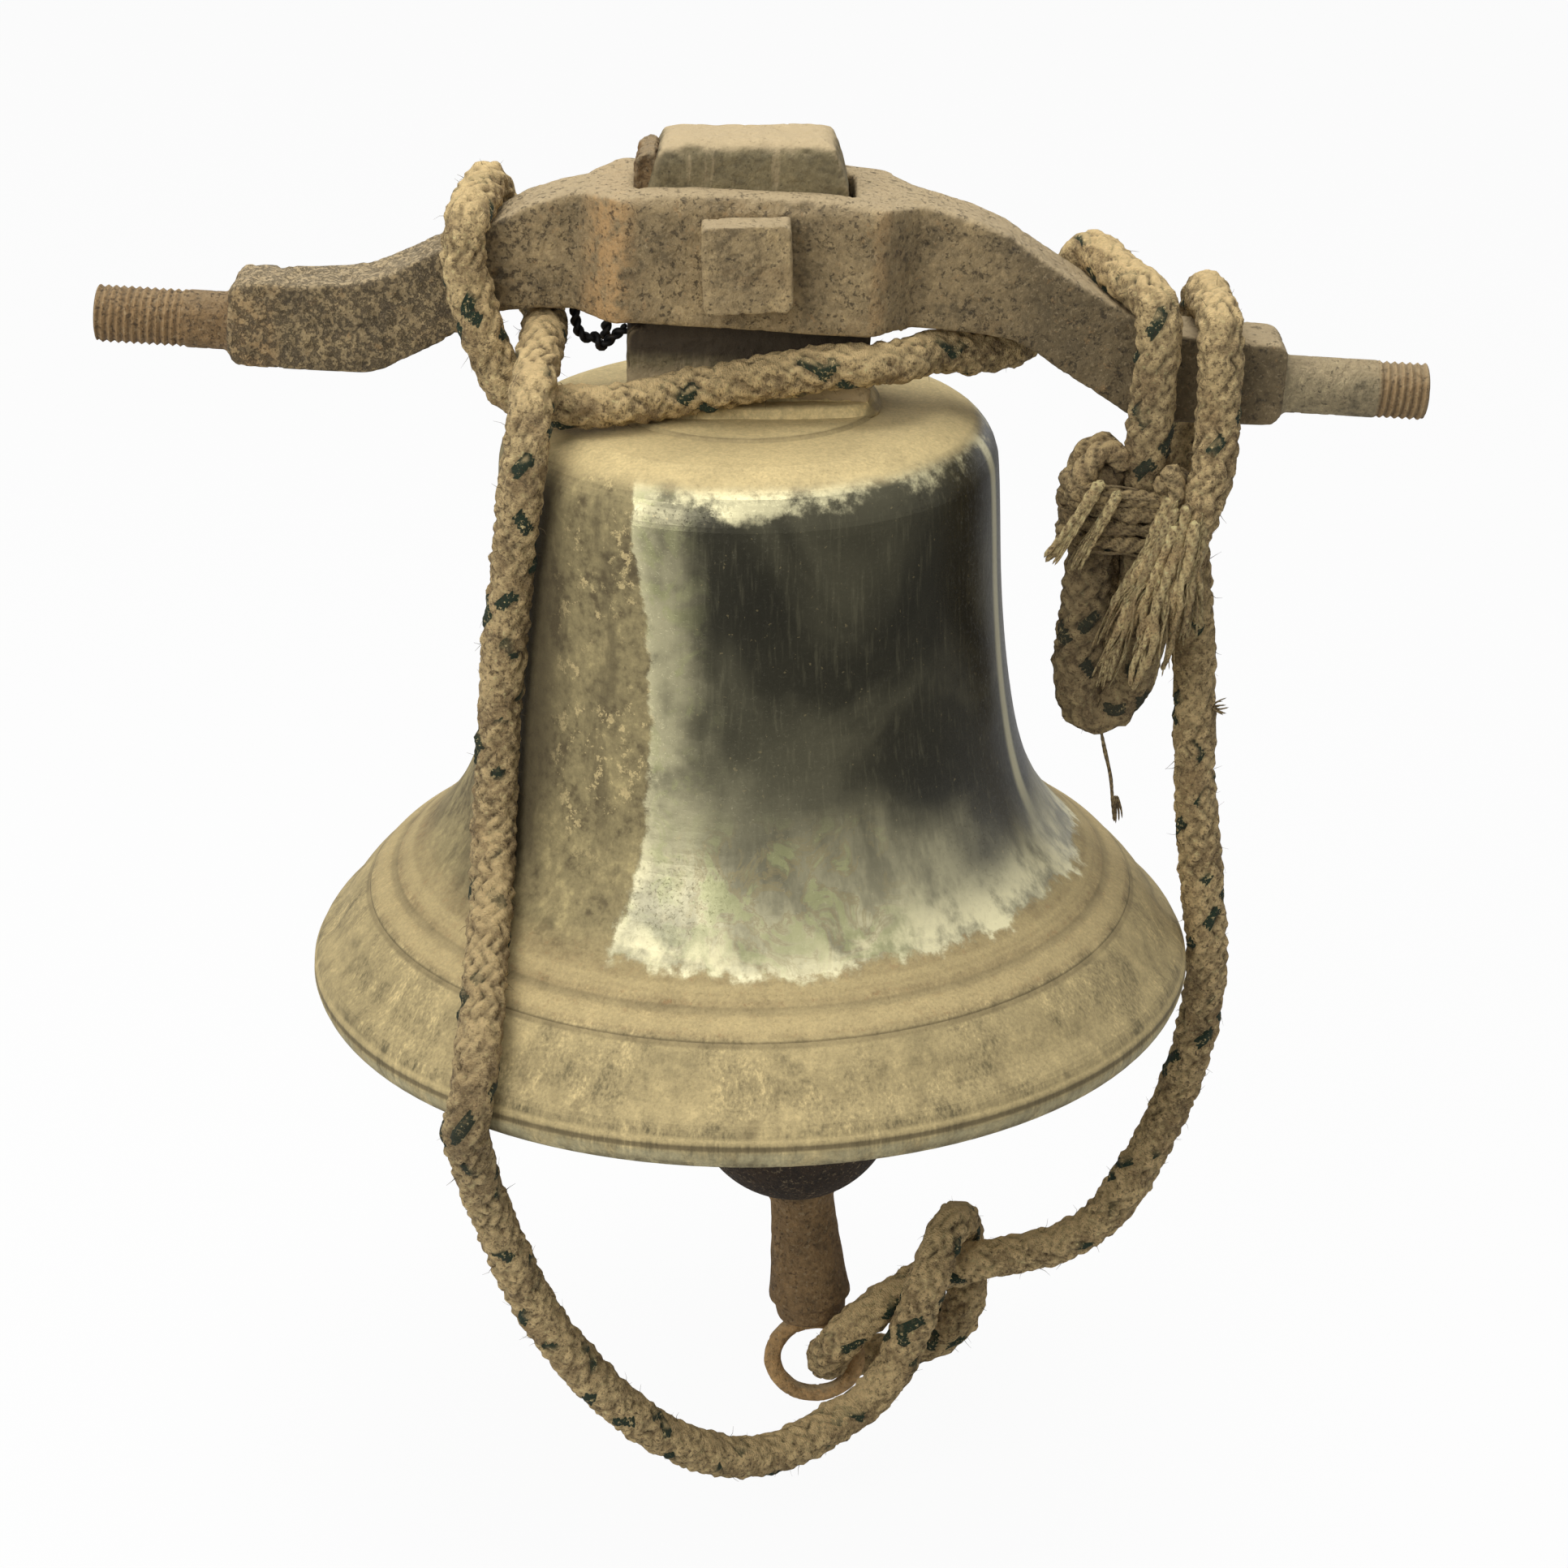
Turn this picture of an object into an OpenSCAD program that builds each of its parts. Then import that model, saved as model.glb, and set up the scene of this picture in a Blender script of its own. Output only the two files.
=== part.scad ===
// Cast bell hung from an arched iron yoke, with a swinging clapper and a hand-tied pull rope.
// Millimetres. Origin at the middle of the journal axis, +X along the journals, -Y to the viewer, +Z up.

/* [Bell] */
// Widest diameter, over the rounded lip
lip_d = 305; // [290:1:320]
// Height from the rim plane to the flat crown
bell_h = 206; // [195:0.5:218]
// Wall thickness at the waist
wall = 8; // [5:0.5:12]
// Thickness of the crown plate
crown_t = 10; // [6:0.5:16]
// Depth of the turned grooves
groove_d = 0.9; // [0.4:0.1:1.5]
// Half width of the turned grooves
groove_w = 0.9; // [0.5:0.1:1.3]
// Height of the flat disc on the crown
disc_t = 0.8; // [0.4:0.1:2]
// Sideways lean of the bell in its loose socket, degrees
bell_lean = 3.5; // [0:0.1:5]

/* [Shank and tang] */
// Width of the cast shank under the yoke
shank_w = 78; // [72:1:86]
// Depth of shank and tang, front to back
tang_t = 30; // [24:1:36]
// Tang width at the shoulder
tang_low_w = 66; // [58:1:68]
// Tang width at its top
tang_top_w = 56.6; // [50:0.2:60]
// Height of the tang above the bolt
tang_rise = 34; // [26:0.5:44]
// Height of the bolt above the crown
bolt_rise = 56; // [50:0.5:66]
// Free gap between the shank's shoulder and the yoke's underside
shoulder_gap = 0.5; // [0.3:0.1:3]
// Free gap between tang and socket, front and back
socket_gap = 0.6; // [0.3:0.1:2]

/* [Yoke] */
// Depth of the yoke's arms, front to back
arm_t = 26; // [20:0.5:32]
// Depth of the centre boss
boss_t = 58; // [50:1:68]
// Width of the boss face
boss_w = 86; // [80:1:100]
// Sideways place of the boss, bolt and tang
bolt_off = -5.5; // [-12:0.5:12]
// Height of the bolt above the journal axis
bolt_z = 38.5; // [34:0.5:42]
// Half length of the yoke between its end faces
yoke_half = 173; // [162:1:190]
// Height the wedge stands proud of the yoke
wedge_proud = 9; // [2:0.5:14]

/* [Journals] */
// Diameter of the two round journals
journal_d = 19; // [16:0.5:22]
// Journal length, left
journal_l = 45; // [40:0.5:64]
// Journal length, right
journal_r = 49; // [40:0.5:64]
// Threaded length at the left end
thread_l = 31; // [10:1:34]
// Threaded length at the right end
thread_r = 18; // [8:1:34]
// Thread pitch
pitch = 2.54; // [1.6:0.02:4]

/* [Yoke bolt] */
// Bolt shank diameter
bolt_d = 19; // [14:0.5:22]
// Side of the square head and of the square nut
head_af = 28.6; // [25:0.2:34]
// Thickness of the head
head_t = 12.7; // [8:0.1:18]
// Thickness of the nut
nut_t = 16.5; // [10:0.5:22]
// Turn of the head about the bolt, degrees
head_turn = 5; // [-45:1:45]
// Turn of the nut about the bolt, degrees
nut_turn = 12; // [-45:1:45]
// Length of bolt showing past the nut
bolt_end = 6; // [3:0.5:16]

/* [Clapper] */
// Distance from the pin to the middle of the ball
ball_s = 216; // [195:0.5:240]
// Ball diameter
ball_d = 74; // [60:1:84]
// Rod diameter
rod_d = 16; // [12:0.5:20]
// Sideways lean of the clapper on its loose pin, degrees
clapper_lean = 4.1; // [0:0.1:8]
// Length of the flared tail below the ball
tail_l = 40; // [30:0.5:60]
// Diameter of the tail at its neck
neck_d = 24; // [20:0.5:28]
// Diameter of the tail at its lower edge
flare_d = 30; // [25:0.5:38]
// Height of the stub under the tail
stub_l = 8; // [4:0.5:14]

/* [Clapper hanger] */
// Diameter of the clapper pin
pin_d = 10; // [8:0.5:13]
// Running clearance of the clapper eye on the pin, on the radius
pin_gap = 0.08; // [0.04:0.01:0.3]
// Diameter of the staple's stud in the crown
stud_d = 16; // [12:0.5:18]
// Depth of the stud in the shank, above the crown
stud_in = 15; // [8:1:24]
// Half the width between the staple's ears
ear_in = 8.5; // [7.5:0.1:12]
// Thickness of each ear
ear_t = 8; // [5:0.5:12]
// Radius of the ears about the pin
ear_r = 11; // [9:0.5:13]
// Free height between the staple's bridge and the clapper's eye
eye_room = 3.1; // [1:0.1:8]
// Height of the lock nut under the crown
lock_t = 12.4; // [8:0.2:16]

/* [Pull eye] */
// Inside diameter of the pull eye
eye_in_d = 25; // [24:0.2:32]
// Wire diameter of the pull eye
eye_wire_d = 6.2; // [5:0.2:7]
// Diameter of the pull eye's shank
eye_shank_d = 9; // [6:0.5:12]

/* [Rope] */
// Diameter of the rope
rope_d = 14.6; // [10:0.2:14.8]
// Diameter of the seizing cord
cord_d = 5; // [3:0.2:5]
// Loops in the seizing
seize_loops = 4.5; // [2:0.5:6]
// Rise of the seizing from loop to loop
seize_pitch = 5.7; // [5.5:0.1:8]

/* [Hidden] */
$fn = 96;

bronze = [0.46, 0.42, 0.27];
yoke_iron = [0.33, 0.29, 0.24];
bolt_iron = [0.37, 0.32, 0.24];
inner_iron = [0.30, 0.25, 0.20];
dark_iron = [0.18, 0.15, 0.13];
rust = [0.52, 0.36, 0.22];
rope_tan = [0.52, 0.44, 0.30];
cord_tan = [0.45, 0.38, 0.26];
wire_black = [0.10, 0.09, 0.08];

hole_gap = 0.3;
seat_gap = 0.3;
bolt_h = bell_h + bolt_rise;
yoke_under = 15;
shoulder_drop = bolt_z - yoke_under + shoulder_gap + sin(bell_lean) * shank_w / 2;
shoulder_h = bolt_h - shoulder_drop / cos(bell_lean);
tang_top_h = bolt_h + tang_rise;

// A point of the upright bell, taken to its leaning place under the yoke
function tb(p) = [
    bolt_off + p[0] * cos(bell_lean) - (p[2] - bolt_h) * sin(bell_lean),
    p[1],
    bolt_z + p[0] * sin(bell_lean) + (p[2] - bolt_h) * cos(bell_lean)];
module in_bell()
    translate([bolt_off, 0, bolt_z]) rotate([0, -bell_lean, 0]) translate([0, 0, -bolt_h]) children();

// Smooth curve through rows of [height, radius]
function slope(T, i) = (T[i + 1][1] - T[i][1]) / (T[i + 1][0] - T[i][0]);
function mean_slope(a, b) = a * b <= 0 ? 0 : 2 * a * b / (a + b);
function slope_at(T, i) =
    i == 0 ? slope(T, 0) : i == len(T) - 1 ? slope(T, i - 1) : mean_slope(slope(T, i - 1), slope(T, i));
function row(T, z, i = 0) = i >= len(T) - 2 || z < T[i + 1][0] ? i : row(T, z, i + 1);
function curve(T, z) =
    let (i = row(T, z), h = T[i + 1][0] - T[i][0], t = (z - T[i][0]) / h, u = 1 - t)
    T[i][1] * (1 + 2 * t) * u * u + T[i + 1][1] * t * t * (3 - 2 * t)
    + h * t * u * u * slope_at(T, i) - h * t * t * u * slope_at(T, i + 1);
function flat(L) = [for (a = L) for (b = a) b];

// Outline of the bell above the lip's widest place, and inside the mouth
outer = [[9, 152.5], [14, 150.4], [20, 144.6], [29, 138.2], [38.3, 128.6], [45.5, 118.6],
    [56, 108.4], [68, 100.1], [82, 94.1], [100, 89.9], [125, 86.6], [150, 84.8],
    [175, 83.9], [188, 83.2], [193, 82], [198, 79.2], [202, 74.6], [205, 66]];
inner = [[3, 138], [20, 125.5], [38, 112], [52, 100], [68, 91],
    [85, 85], [105, 80], [130, 78], [160, 76.5], [185, 75]];
// The outline is drawn at its measured size, and stretched to the sizes that are set
outline_r = outer[0][1];
outline_h = outer[len(outer) - 1][0] + 1;
kx = lip_d / 2 / outline_r;
kz = bell_h / outline_h;
drawn_wall = 8;
thinner = drawn_wall - wall;
lip_groove_z = 4.6;
groove_z = [lip_groove_z, 38.3, 45.5];
function cut(z) = groove_d * max([for (g = groove_z) max(1 - abs(z - g) / groove_w, 0)]);
function groove_at(z) = [z - groove_w, z, z + groove_w];
outer_z = concat(
    [for (z = [9:1.5:36]) z], groove_at(38.3), [40.4, 41.9, 43.4], groove_at(45.5),
    [for (z = [48:3.5:98]) z], [for (z = [102:6:186]) z], [for (z = [189:1.6:204.6]) z]);
bell_outside = concat(
    [[0, 0], [140.5, 0], [148.4, 0], [149.8, 0.5], [150.8, 1.7], [151.2, lip_groove_z - groove_w],
        [151.4 - groove_d, lip_groove_z], [151.8, lip_groove_z + groove_w], [152.3, 7]],
    [for (z = outer_z) [curve(outer, z) - cut(z), z]],
    [[66, 205.2], [58, 205.7], [43.4, outline_h], [42.9, outline_h + disc_t - 0.3], [42, outline_h + disc_t],
        [0, outline_h + disc_t]]);
in_top = outline_h - crown_t / kz;
bell_inside = concat(
    [[0, -1], [141, -1], [139.6, 0.3]],
    [for (z = [3:3:180]) [curve(inner, z) + thinner, z]],
    [[75 + thinner, in_top - 11], [74.2 + thinner, in_top - 6.5], [71.5 + thinner, in_top - 2.6],
        [66.5, in_top - 0.5], [62, in_top], [0, in_top]]);
module turned(L) rotate_extrude($fn = 160) polygon([for (p = L) [p[0] * kx, p[1] * kz]]);

crown_in = bell_h - crown_t;
bridge_top = crown_in - lock_t;
bridge_t = 8;
eye_boss_r = 10.5;
pivot_h = bridge_top - bridge_t - eye_room - eye_boss_r;
stud_top = bell_h + stud_in;
bulge_h = bolt_h + 19;
bulge = 3.2;
bulge_w = tang_top_w + 2 * bulge;
top_soft = 4;
top_bevel = 1.3;
module bolt_hole() cylinder(r = bolt_d / 2 + hole_gap, h = 2 * boss_t);
module bell() color(bronze) in_bell() difference() {
    union() {
        difference() {
            turned(bell_outside);
            turned(bell_inside);
        }
        shank_and_tang();
    }
    translate([0, boss_t, bolt_h]) rotate([90, 0, 0]) bolt_hole();
    translate([0, 0, crown_in - 1]) cylinder(r = stud_d / 2, h = stud_top - crown_in + 1);
}
// Half outline of shank and tang as [half width, height], and its mirror image
tang_half = [[shank_w / 2 + 2.5, bell_h - 2], [shank_w / 2, bell_h + 5],
    [shank_w / 2, shoulder_h - 1.5], [shank_w / 2 - 1.5, shoulder_h], [tang_low_w / 2, shoulder_h],
    [bulge_w / 2, bulge_h], [tang_top_w / 2, tang_top_h - top_soft],
    [tang_top_w / 2 - top_bevel, tang_top_h - top_bevel], [tang_top_w / 2 - top_soft, tang_top_h]];
function both_sides(L) = concat(L, [for (i = [len(L) - 1:-1:0]) [-L[i][0], L[i][1]]]);
tang_side = [[tang_t / 2, 0], [tang_t / 2, tang_top_h - top_soft],
    [tang_t / 2 - top_bevel, tang_top_h - top_bevel], [tang_t / 2 - top_soft, tang_top_h]];
module shank_and_tang() intersection() {
    rotate([90, 0, 0]) translate([0, 0, -tang_t / 2])
        linear_extrude(tang_t) polygon(both_sides(tang_half));
    rotate([90, 0, 90]) translate([0, 0, -shank_w])
        linear_extrude(2 * shank_w) polygon(both_sides(tang_side));
}

// Half outline of the yoke: distance from the middle, height
block_top = 16.6;
block_low = -11.5;
yoke_half_outline = [
    [0, 59], [18, 58.6], [35, 57.5], [52, 55.3], [66, 52], [78, 47.5], [90, 40], [98, 35.3],
    [106, 31], [114, 26.5], [122, 22.4], [128, 20], [136, 18.2], [150, 17],
    [yoke_half - 3, block_top], [yoke_half, block_top - 3.2],
    [yoke_half, block_low + 3.1], [yoke_half - 3.2, block_low],
    [150, -11.9], [128, -11.8], [122, -10], [116, -6.4], [110, -3], [99, 3],
    [90, 9], [83, 12.3], [74, 13.6], [60, 14.4], [40, yoke_under], [0, yoke_under]];
yoke_outline = both_sides(yoke_half_outline);
module outline_plate(t)
    rotate([90, 0, 0]) translate([0, 0, -t / 2]) linear_extrude(t) polygon(yoke_outline);
boss_corner = 2;
boss_flare = 13;
boss_plan_half = [[boss_w / 2 + boss_flare, arm_t / 2 - 1],
    [boss_w / 2 + boss_corner / 2, boss_t / 2 - boss_corner],
    [boss_w / 2 - boss_corner, boss_t / 2]];
boss_side_half = [[boss_t / 2 - 2, 10], [boss_t / 2, 17], [boss_t / 2, 53], [boss_t / 2 - 3.5, 59.5]];
module boss_plan() {
    half = both_sides(boss_plan_half);
    polygon(concat(half, [for (i = [len(half) - 1:-1:0]) [half[i][0], -half[i][1]]]));
}
module boss() intersection() {
    outline_plate(boss_t + 20);
    translate([bolt_off, 0, -80]) linear_extrude(160) boss_plan();
    rotate([90, 0, 90]) translate([0, 0, -boss_w])
        linear_extrude(2 * boss_w) polygon(both_sides(boss_side_half));
}
// Socket walls, from the tang's place in it: a thin gap at the right, room for the wedge at the left
low_gap = 1.7;
top_gap = 3;
wedge_w = 4.4;
function tang_x(side, w, h) = tb([side * w / 2, 0, h])[0];
socket_right_low = tang_x(1, tang_low_w, shoulder_h) + low_gap;
socket_right_top = tang_x(1, bulge_w, bulge_h) + top_gap;
wedge_x = min(tang_x(-1, bulge_w, bulge_h), tang_x(-1, tang_low_w, shoulder_h)) - seat_gap / 2;
socket_low_z = 12;
socket_top_z = 60;
function socket_left(z) =
    wedge_x - low_gap - (wedge_w - low_gap) * (z - socket_low_z) / (socket_top_z - socket_low_z);
socket_t = tang_t + 2 * socket_gap;
module socket() rotate([90, 0, 0]) translate([0, 0, -socket_t / 2])
    linear_extrude(socket_t) polygon([
        [socket_left(0), 0], [socket_right_low, 0], [socket_right_low, socket_low_z],
        [socket_right_top, socket_top_z], [socket_right_top, 70], [socket_left(70), 70]]);
thread_depth = 1.3;
// Journal along +Z from the end block's face
module journal(long, threaded) {
    r = journal_d / 2;
    root = min(r + 2, -block_low, arm_t / 2);
    turns = floor((threaded - 2) / pitch);
    grooves = flat([for (i = [turns:-1:1]) let (z = long - 1.6 - i * pitch)
        [[r, z], [r - thread_depth, z + pitch * 0.42], [r, z + pitch * 0.84]]]);
    rotate_extrude($fn = 72) polygon(concat(
        [[0, -6], [root, -6], [root, 0], [min(root, r + 0.7), 1.1], [r, 2.8]],
        grooves, [[r, long - 1.4], [r - 1.4, long], [0, long]]));
}
module yoke() color(yoke_iron) difference() {
    union() {
        outline_plate(arm_t);
        boss();
        translate([yoke_half, 0, 0]) rotate([0, 90, 0]) journal(journal_r, thread_r);
        translate([-yoke_half, 0, 0]) rotate([0, -90, 0]) journal(journal_l, thread_l);
    }
    socket();
    translate([bolt_off, boss_t, bolt_z]) rotate([90, 0, 0]) bolt_hole();
}
wedge_low_z = 22;
wedge_top_z = 58 + wedge_proud;
module tang_wedge() color(rust) rotate([90, 0, 0]) translate([0, 0, -tang_t / 2 + 3])
    linear_extrude(tang_t - 6) polygon([
        [socket_left(wedge_low_z), wedge_low_z], [wedge_x, wedge_low_z], [wedge_x, wedge_top_z - 2],
        [wedge_x - 1, wedge_top_z], [socket_left(socket_top_z) + 0.8, wedge_top_z - 1],
        [socket_left(socket_top_z), socket_top_z]]);

// Square block with its upright corners and its outer face eased
module square_block(side, t) intersection() {
    translate([-side / 2, -side / 2, 0]) cube([side, side, t]);
    cylinder(r1 = side * 0.69, r2 = side * 0.665, h = t);
}
module yoke_bolt() color(bolt_iron)
    translate([bolt_off, -boss_t / 2, bolt_z]) rotate([0, -head_turn, 0]) rotate([90, 0, 0]) {
        square_block(head_af, head_t);
        translate([0, 0, -boss_t - nut_t - bolt_end]) bolt_shank(boss_t + nut_t + bolt_end + 1);
    }
module bolt_shank(long) {
    r = bolt_d / 2;
    rotate_extrude($fn = 72) polygon([[0, 0], [r - 1.4, 0], [r, 1.4], [r - 1.2, 2.6], [r, 3.8],
        [r - 1.2, 4.5], [r, 5.2], [r, long], [0, long]]);
}
module yoke_bolt_nut() color(bolt_iron)
    translate([bolt_off, boss_t / 2, bolt_z]) rotate([0, nut_turn, 0]) rotate([-90, 0, 0]) difference() {
        square_block(head_af, nut_t);
        translate([0, 0, -1]) cylinder(r = bolt_d / 2, h = nut_t + 2);
    }

module post(r, z0, z1) translate([0, 0, z0]) cylinder(r = r, h = z1 - z0);
module across(r, x0, x1) translate([x0, 0, pivot_h]) rotate([0, 90, 0]) cylinder(r = r, h = x1 - x0);
ear_out = ear_in + ear_t;
module clapper_staple() color(inner_iron) in_bell() difference() {
    union() {
        post(stud_d / 2, bridge_top - 1, stud_top - 1);
        translate([-ear_out, -ear_r, bridge_top - bridge_t]) cube([2 * ear_out, 2 * ear_r, bridge_t]);
        for (x = [ear_in, -ear_out]) {
            translate([x, -ear_r, pivot_h]) cube([ear_t, 2 * ear_r, bridge_top - pivot_h - 1]);
            across(ear_r, x, x + ear_t);
        }
    }
    across(pin_d / 2, -2 * ear_out, 2 * ear_out);
}
module staple_nut() color(inner_iron) in_bell() difference() {
    intersection() {
        translate([0, 0, bridge_top]) cylinder(r = stud_d * 0.975, h = lock_t, $fn = 6);
        translate([0, 0, bridge_top]) cylinder(r1 = stud_d * 0.89, r2 = stud_d * 1.4, h = lock_t);
    }
    post(stud_d / 2, bridge_top - 1, crown_in + 1);
}
washer_t = 2.5;
cotter_x = ear_out + washer_t + 3.5;
pin_end = cotter_x + 5;
cotter_d = 3.2;
module clapper_pin() color(bolt_iron) in_bell() difference() {
    union() {
        across(pin_d / 2 + 3.5, -ear_out - 5, -ear_out);
        across(pin_d / 2, -ear_out - 1, pin_end - 1);
        translate([pin_end - 1, 0, pivot_h]) rotate([0, 90, 0])
            cylinder(r1 = pin_d / 2, r2 = pin_d / 2 - 1, h = 1);
    }
    translate([cotter_x, 0, pivot_h]) post(cotter_d / 2, -pin_d, pin_d);
}
module pin_washer() color(bolt_iron) in_bell() difference() {
    across(pin_d / 2 + 5, ear_out, ear_out + washer_t);
    across(pin_d / 2, ear_out - 1, ear_out + washer_t + 1);
}
module pin_cotter() color(rust) in_bell() translate([cotter_x, 0, pivot_h]) {
    post(cotter_d / 2, -pin_d / 2 - 4, pin_d / 2 + 1);
    translate([0, 0, pin_d / 2 + 3.2]) rotate([90, 0, 0])
        rotate_extrude($fn = 36) translate([2.4, 0]) circle(r = 1.1, $fn = 16);
    for (a = [-40, 40]) translate([0, 0, -pin_d / 2 - 3.4]) rotate([a, 0, 0]) post(1.1, -6, 0.5);
}

// The clapper is drawn upright, from its pin downwards
module in_clapper() in_bell() translate([0, 0, pivot_h]) rotate([0, -clapper_lean, 0]) children();
module spun(L) rotate_extrude() polygon(L);
rod_seat = 18;
tail_seat = 19;
tail_spigot_r = 8;
module clapper_arm() color(dark_iron) difference() {
    union() {
        in_bell() across(eye_boss_r, -ear_in + 1, ear_in - 1);
        in_clapper() spun([[0, rod_seat - ball_s], [rod_d / 2, rod_seat - ball_s], [rod_d / 2, -26],
            [7.4, -14], [7, -7], [0, -7]]);
    }
    in_bell() across(pin_d / 2 + pin_gap, -2 * ear_out, 2 * ear_out);
}
ball_r = ball_d / 2;
neck_r = neck_d / 2;
flat_s = sqrt(ball_r * ball_r - neck_r * neck_r);
module clapper_ball() color(dark_iron) in_clapper() translate([0, 0, -ball_s]) difference() {
    sphere(r = ball_r, $fn = 120);
    post(rod_d / 2, rod_seat, ball_r + 1);
    post(neck_r + 1, -ball_r - 1, -flat_s);
    post(tail_spigot_r, -ball_r - 1, -tail_seat);
}
tail_top = ball_s + flat_s;
neck_s = ball_s + ball_r + 4.5;
tail_end = neck_s + tail_l;
stub_end = tail_end + stub_l;
flare_r = flare_d / 2;
module clapper_tail() color(dark_iron) in_clapper() difference() {
    spun([[0, -ball_s - tail_seat], [tail_spigot_r, -ball_s - tail_seat], [tail_spigot_r, -tail_top],
        [neck_r + 1, -tail_top], [neck_r + 0.5, -tail_top - 3], [neck_r - 0.5, -neck_s + 1],
        [neck_r - 0.4, -neck_s - 4], [neck_r + 0.3, -neck_s - 14], [flare_r - 1.3, -tail_end + 9],
        [flare_r, -tail_end + 1.2], [flare_r - 0.4, -tail_end], [flare_r - 2, -tail_end - 0.8],
        [flare_r - 2.4, -stub_end + 1], [flare_r - 3.4, -stub_end], [0, -stub_end]]);
    post(eye_shank_d / 2, -stub_end - 1, -stub_end + 20);
}
ring_r = (eye_in_d + eye_wire_d) / 2;
eye_neck = 0.8;
eye_s = stub_end + eye_in_d / 2 + eye_wire_d + eye_neck;
module pull_eye() color(rust) in_clapper() {
    translate([0, 0, -eye_s]) rotate([90, 0, 0])
        rotate_extrude($fn = 72) translate([ring_r, 0]) circle(r = eye_wire_d / 2, $fn = 32);
    post(eye_shank_d / 2, -eye_s + ring_r, -stub_end + 19);
    translate([0, 0, -eye_s + ring_r - 1])
        cylinder(r1 = 3, r2 = 6.5, h = eye_wire_d / 2 + eye_neck + 1);
}

// Rope: one line of points from the frayed end to the end of the eye, with the first point of each stretch
rope_drawn = [
    [131.8, -31, -91.2], [138.4, -32, -66], [144, -31.5, -43.7],
    [149.9, -28.3, -25], [150.5, -22, -4], [149.3, -21.5, 14], [148.6, -17.5, 25.5],
    [148, 0, 28.5], [147.2, 17.5, 25.5], [147.3, 21.5, 12], [148.2, 21, -13], [146.5, 14, -26],
    [146.2, 5, -43], [150.6, 3, -67.5], [155.6, 1, -106], [160.2, 0, -147], [166.8, 0, -186], [171, 0, -212],
    [170.3, 0, -241], [164, 0, -272], [148, -4, -309], [130.3, -6, -325.7], [112.8, -6, -332],
    [89, -5, -340], [74.5, -9, -347.5], [60.5, -16, -355.2], [52.5, -18.5, -363],
    [48.5, -13.5, -373.5], [48.2, -6, -380.5], [48.4, 3, -384.4], [51, 10.5, -388.6],
    [60, 13.6, -391], [76, 12.5, -385.6], [91, 9, -375.5], [97.8, 9, -362], [97, 11, -345],
    [94, 6, -327.5], [91, -4, -320.5], [86.5, -14, -320.5], [81.5, -22.5, -334], [76.5, -24.3, -354],
    [69.5, -26, -374],
    [55, -33, -387], [22.3, -55, -392.3], [-14.5, -78, -368], [-50.6, -100, -317], [-71, -114, -266],
    [-79.7, -131.5, -227.5],
    [-79.2, -135, -219], [-77.3, -125.4, -202], [-76.9, -104.2, -182.8], [-77.2, -76.8, -166],
    [-78.1, -58.8, -145.2], [-78, -50.8, -110], [-76, -52.6, -68], [-73.7, -58, -36],
    [-72, -55.5, -16], [-71.2, -46, -3.1], [-70.6, -26, 3], [-70.2, -2, 5.1],
    [-71.5, 14, 3.2], [-76.5, 21.5, 11.5], [-85, 21.5, 29], [-91.5, 18.4, 46.7], [-93.8, 0, 49.5],
    [-96, -18.5, 44.5], [-96, -21.5, 30], [-90, -21.5, 9], [-83, -20.5, -7], [-74.5, -22, -13.8],
    [-63, -31, -12.8], [-44, -30.3, -11.3], [-24, -24.8, -7.8], [17.3, -24.6, 2.4],
    [34, -24.6, 5], [47.5, -18, 5.4], [57.3, -6, 5.5], [82.6, 14.4, 2.4],
    [91.2, 22, 8.7], [99, 21.5, 20], [108, 18.6, 36.2], [118, 0, 35.5], [127, -17, 30],
    [128.7, -21.5, 17], [128.6, -21.8, -7], [129.2, -20, -23.5],
    [131, -14.5, -53], [135, -12, -80], [133.6, -12, -101], [127.5, -12, -113.5],
    [119, -12, -115.5], [113.8, -12, -104], [114.3, -13, -78], [114.7, -15.6, -47], [114.8, -19.6, -24]];
turn_from = 2;
fall_from = 11;
sling_from = 17;
knot_from = 22;
left_from = 41;
climb_from = 47;
hitch_from = 59;
run_from = 69;
inner_from = 77;
eye_from = 85;
rope_last = len(rope_drawn) - 1;
waist_to = 55;

// The rope follows the bell's lip and the pull eye when their sizes change
drawn_lean = 3.5;
drawn_bolt = [-5.5, 0, 38.5];
drawn_bolt_h = 262;
drawn_eye = [43.59, 0, -383.46];
eye_now = tb([eye_s * sin(clapper_lean), 0, pivot_h - eye_s * cos(clapper_lean)]);
function upright(p) = let (q = p - drawn_bolt) [
    q[0] * cos(drawn_lean) + q[2] * sin(drawn_lean), q[1],
    drawn_bolt_h + q[2] * cos(drawn_lean) - q[0] * sin(drawn_lean)];
function lip_shift(p) =
    let (b = upright(p), r = norm([b[0], b[1]]), k = (r + (lip_d - 2 * outline_r) / 2) / r)
    tb([b[0] * k, b[1] * k, b[2] + bell_h - outline_h]) - p;
function part_way(i, a, b) = min(max((i - a) / (b - a), 0), 1);
function lip_share(i) =
    i < knot_from ? min(part_way(i, fall_from, sling_from), 1 - part_way(i, sling_from, knot_from))
    : min(part_way(i, left_from, climb_from), 1 - part_way(i, waist_to, hitch_from));
function eye_share(i) = min(part_way(i, sling_from, knot_from), 1 - part_way(i, left_from, climb_from));
rope = [for (i = [0:rope_last]) let (p = rope_drawn[i])
    p + lip_share(i) * lip_shift(p) + eye_share(i) * (eye_now - drawn_eye)];

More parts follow.
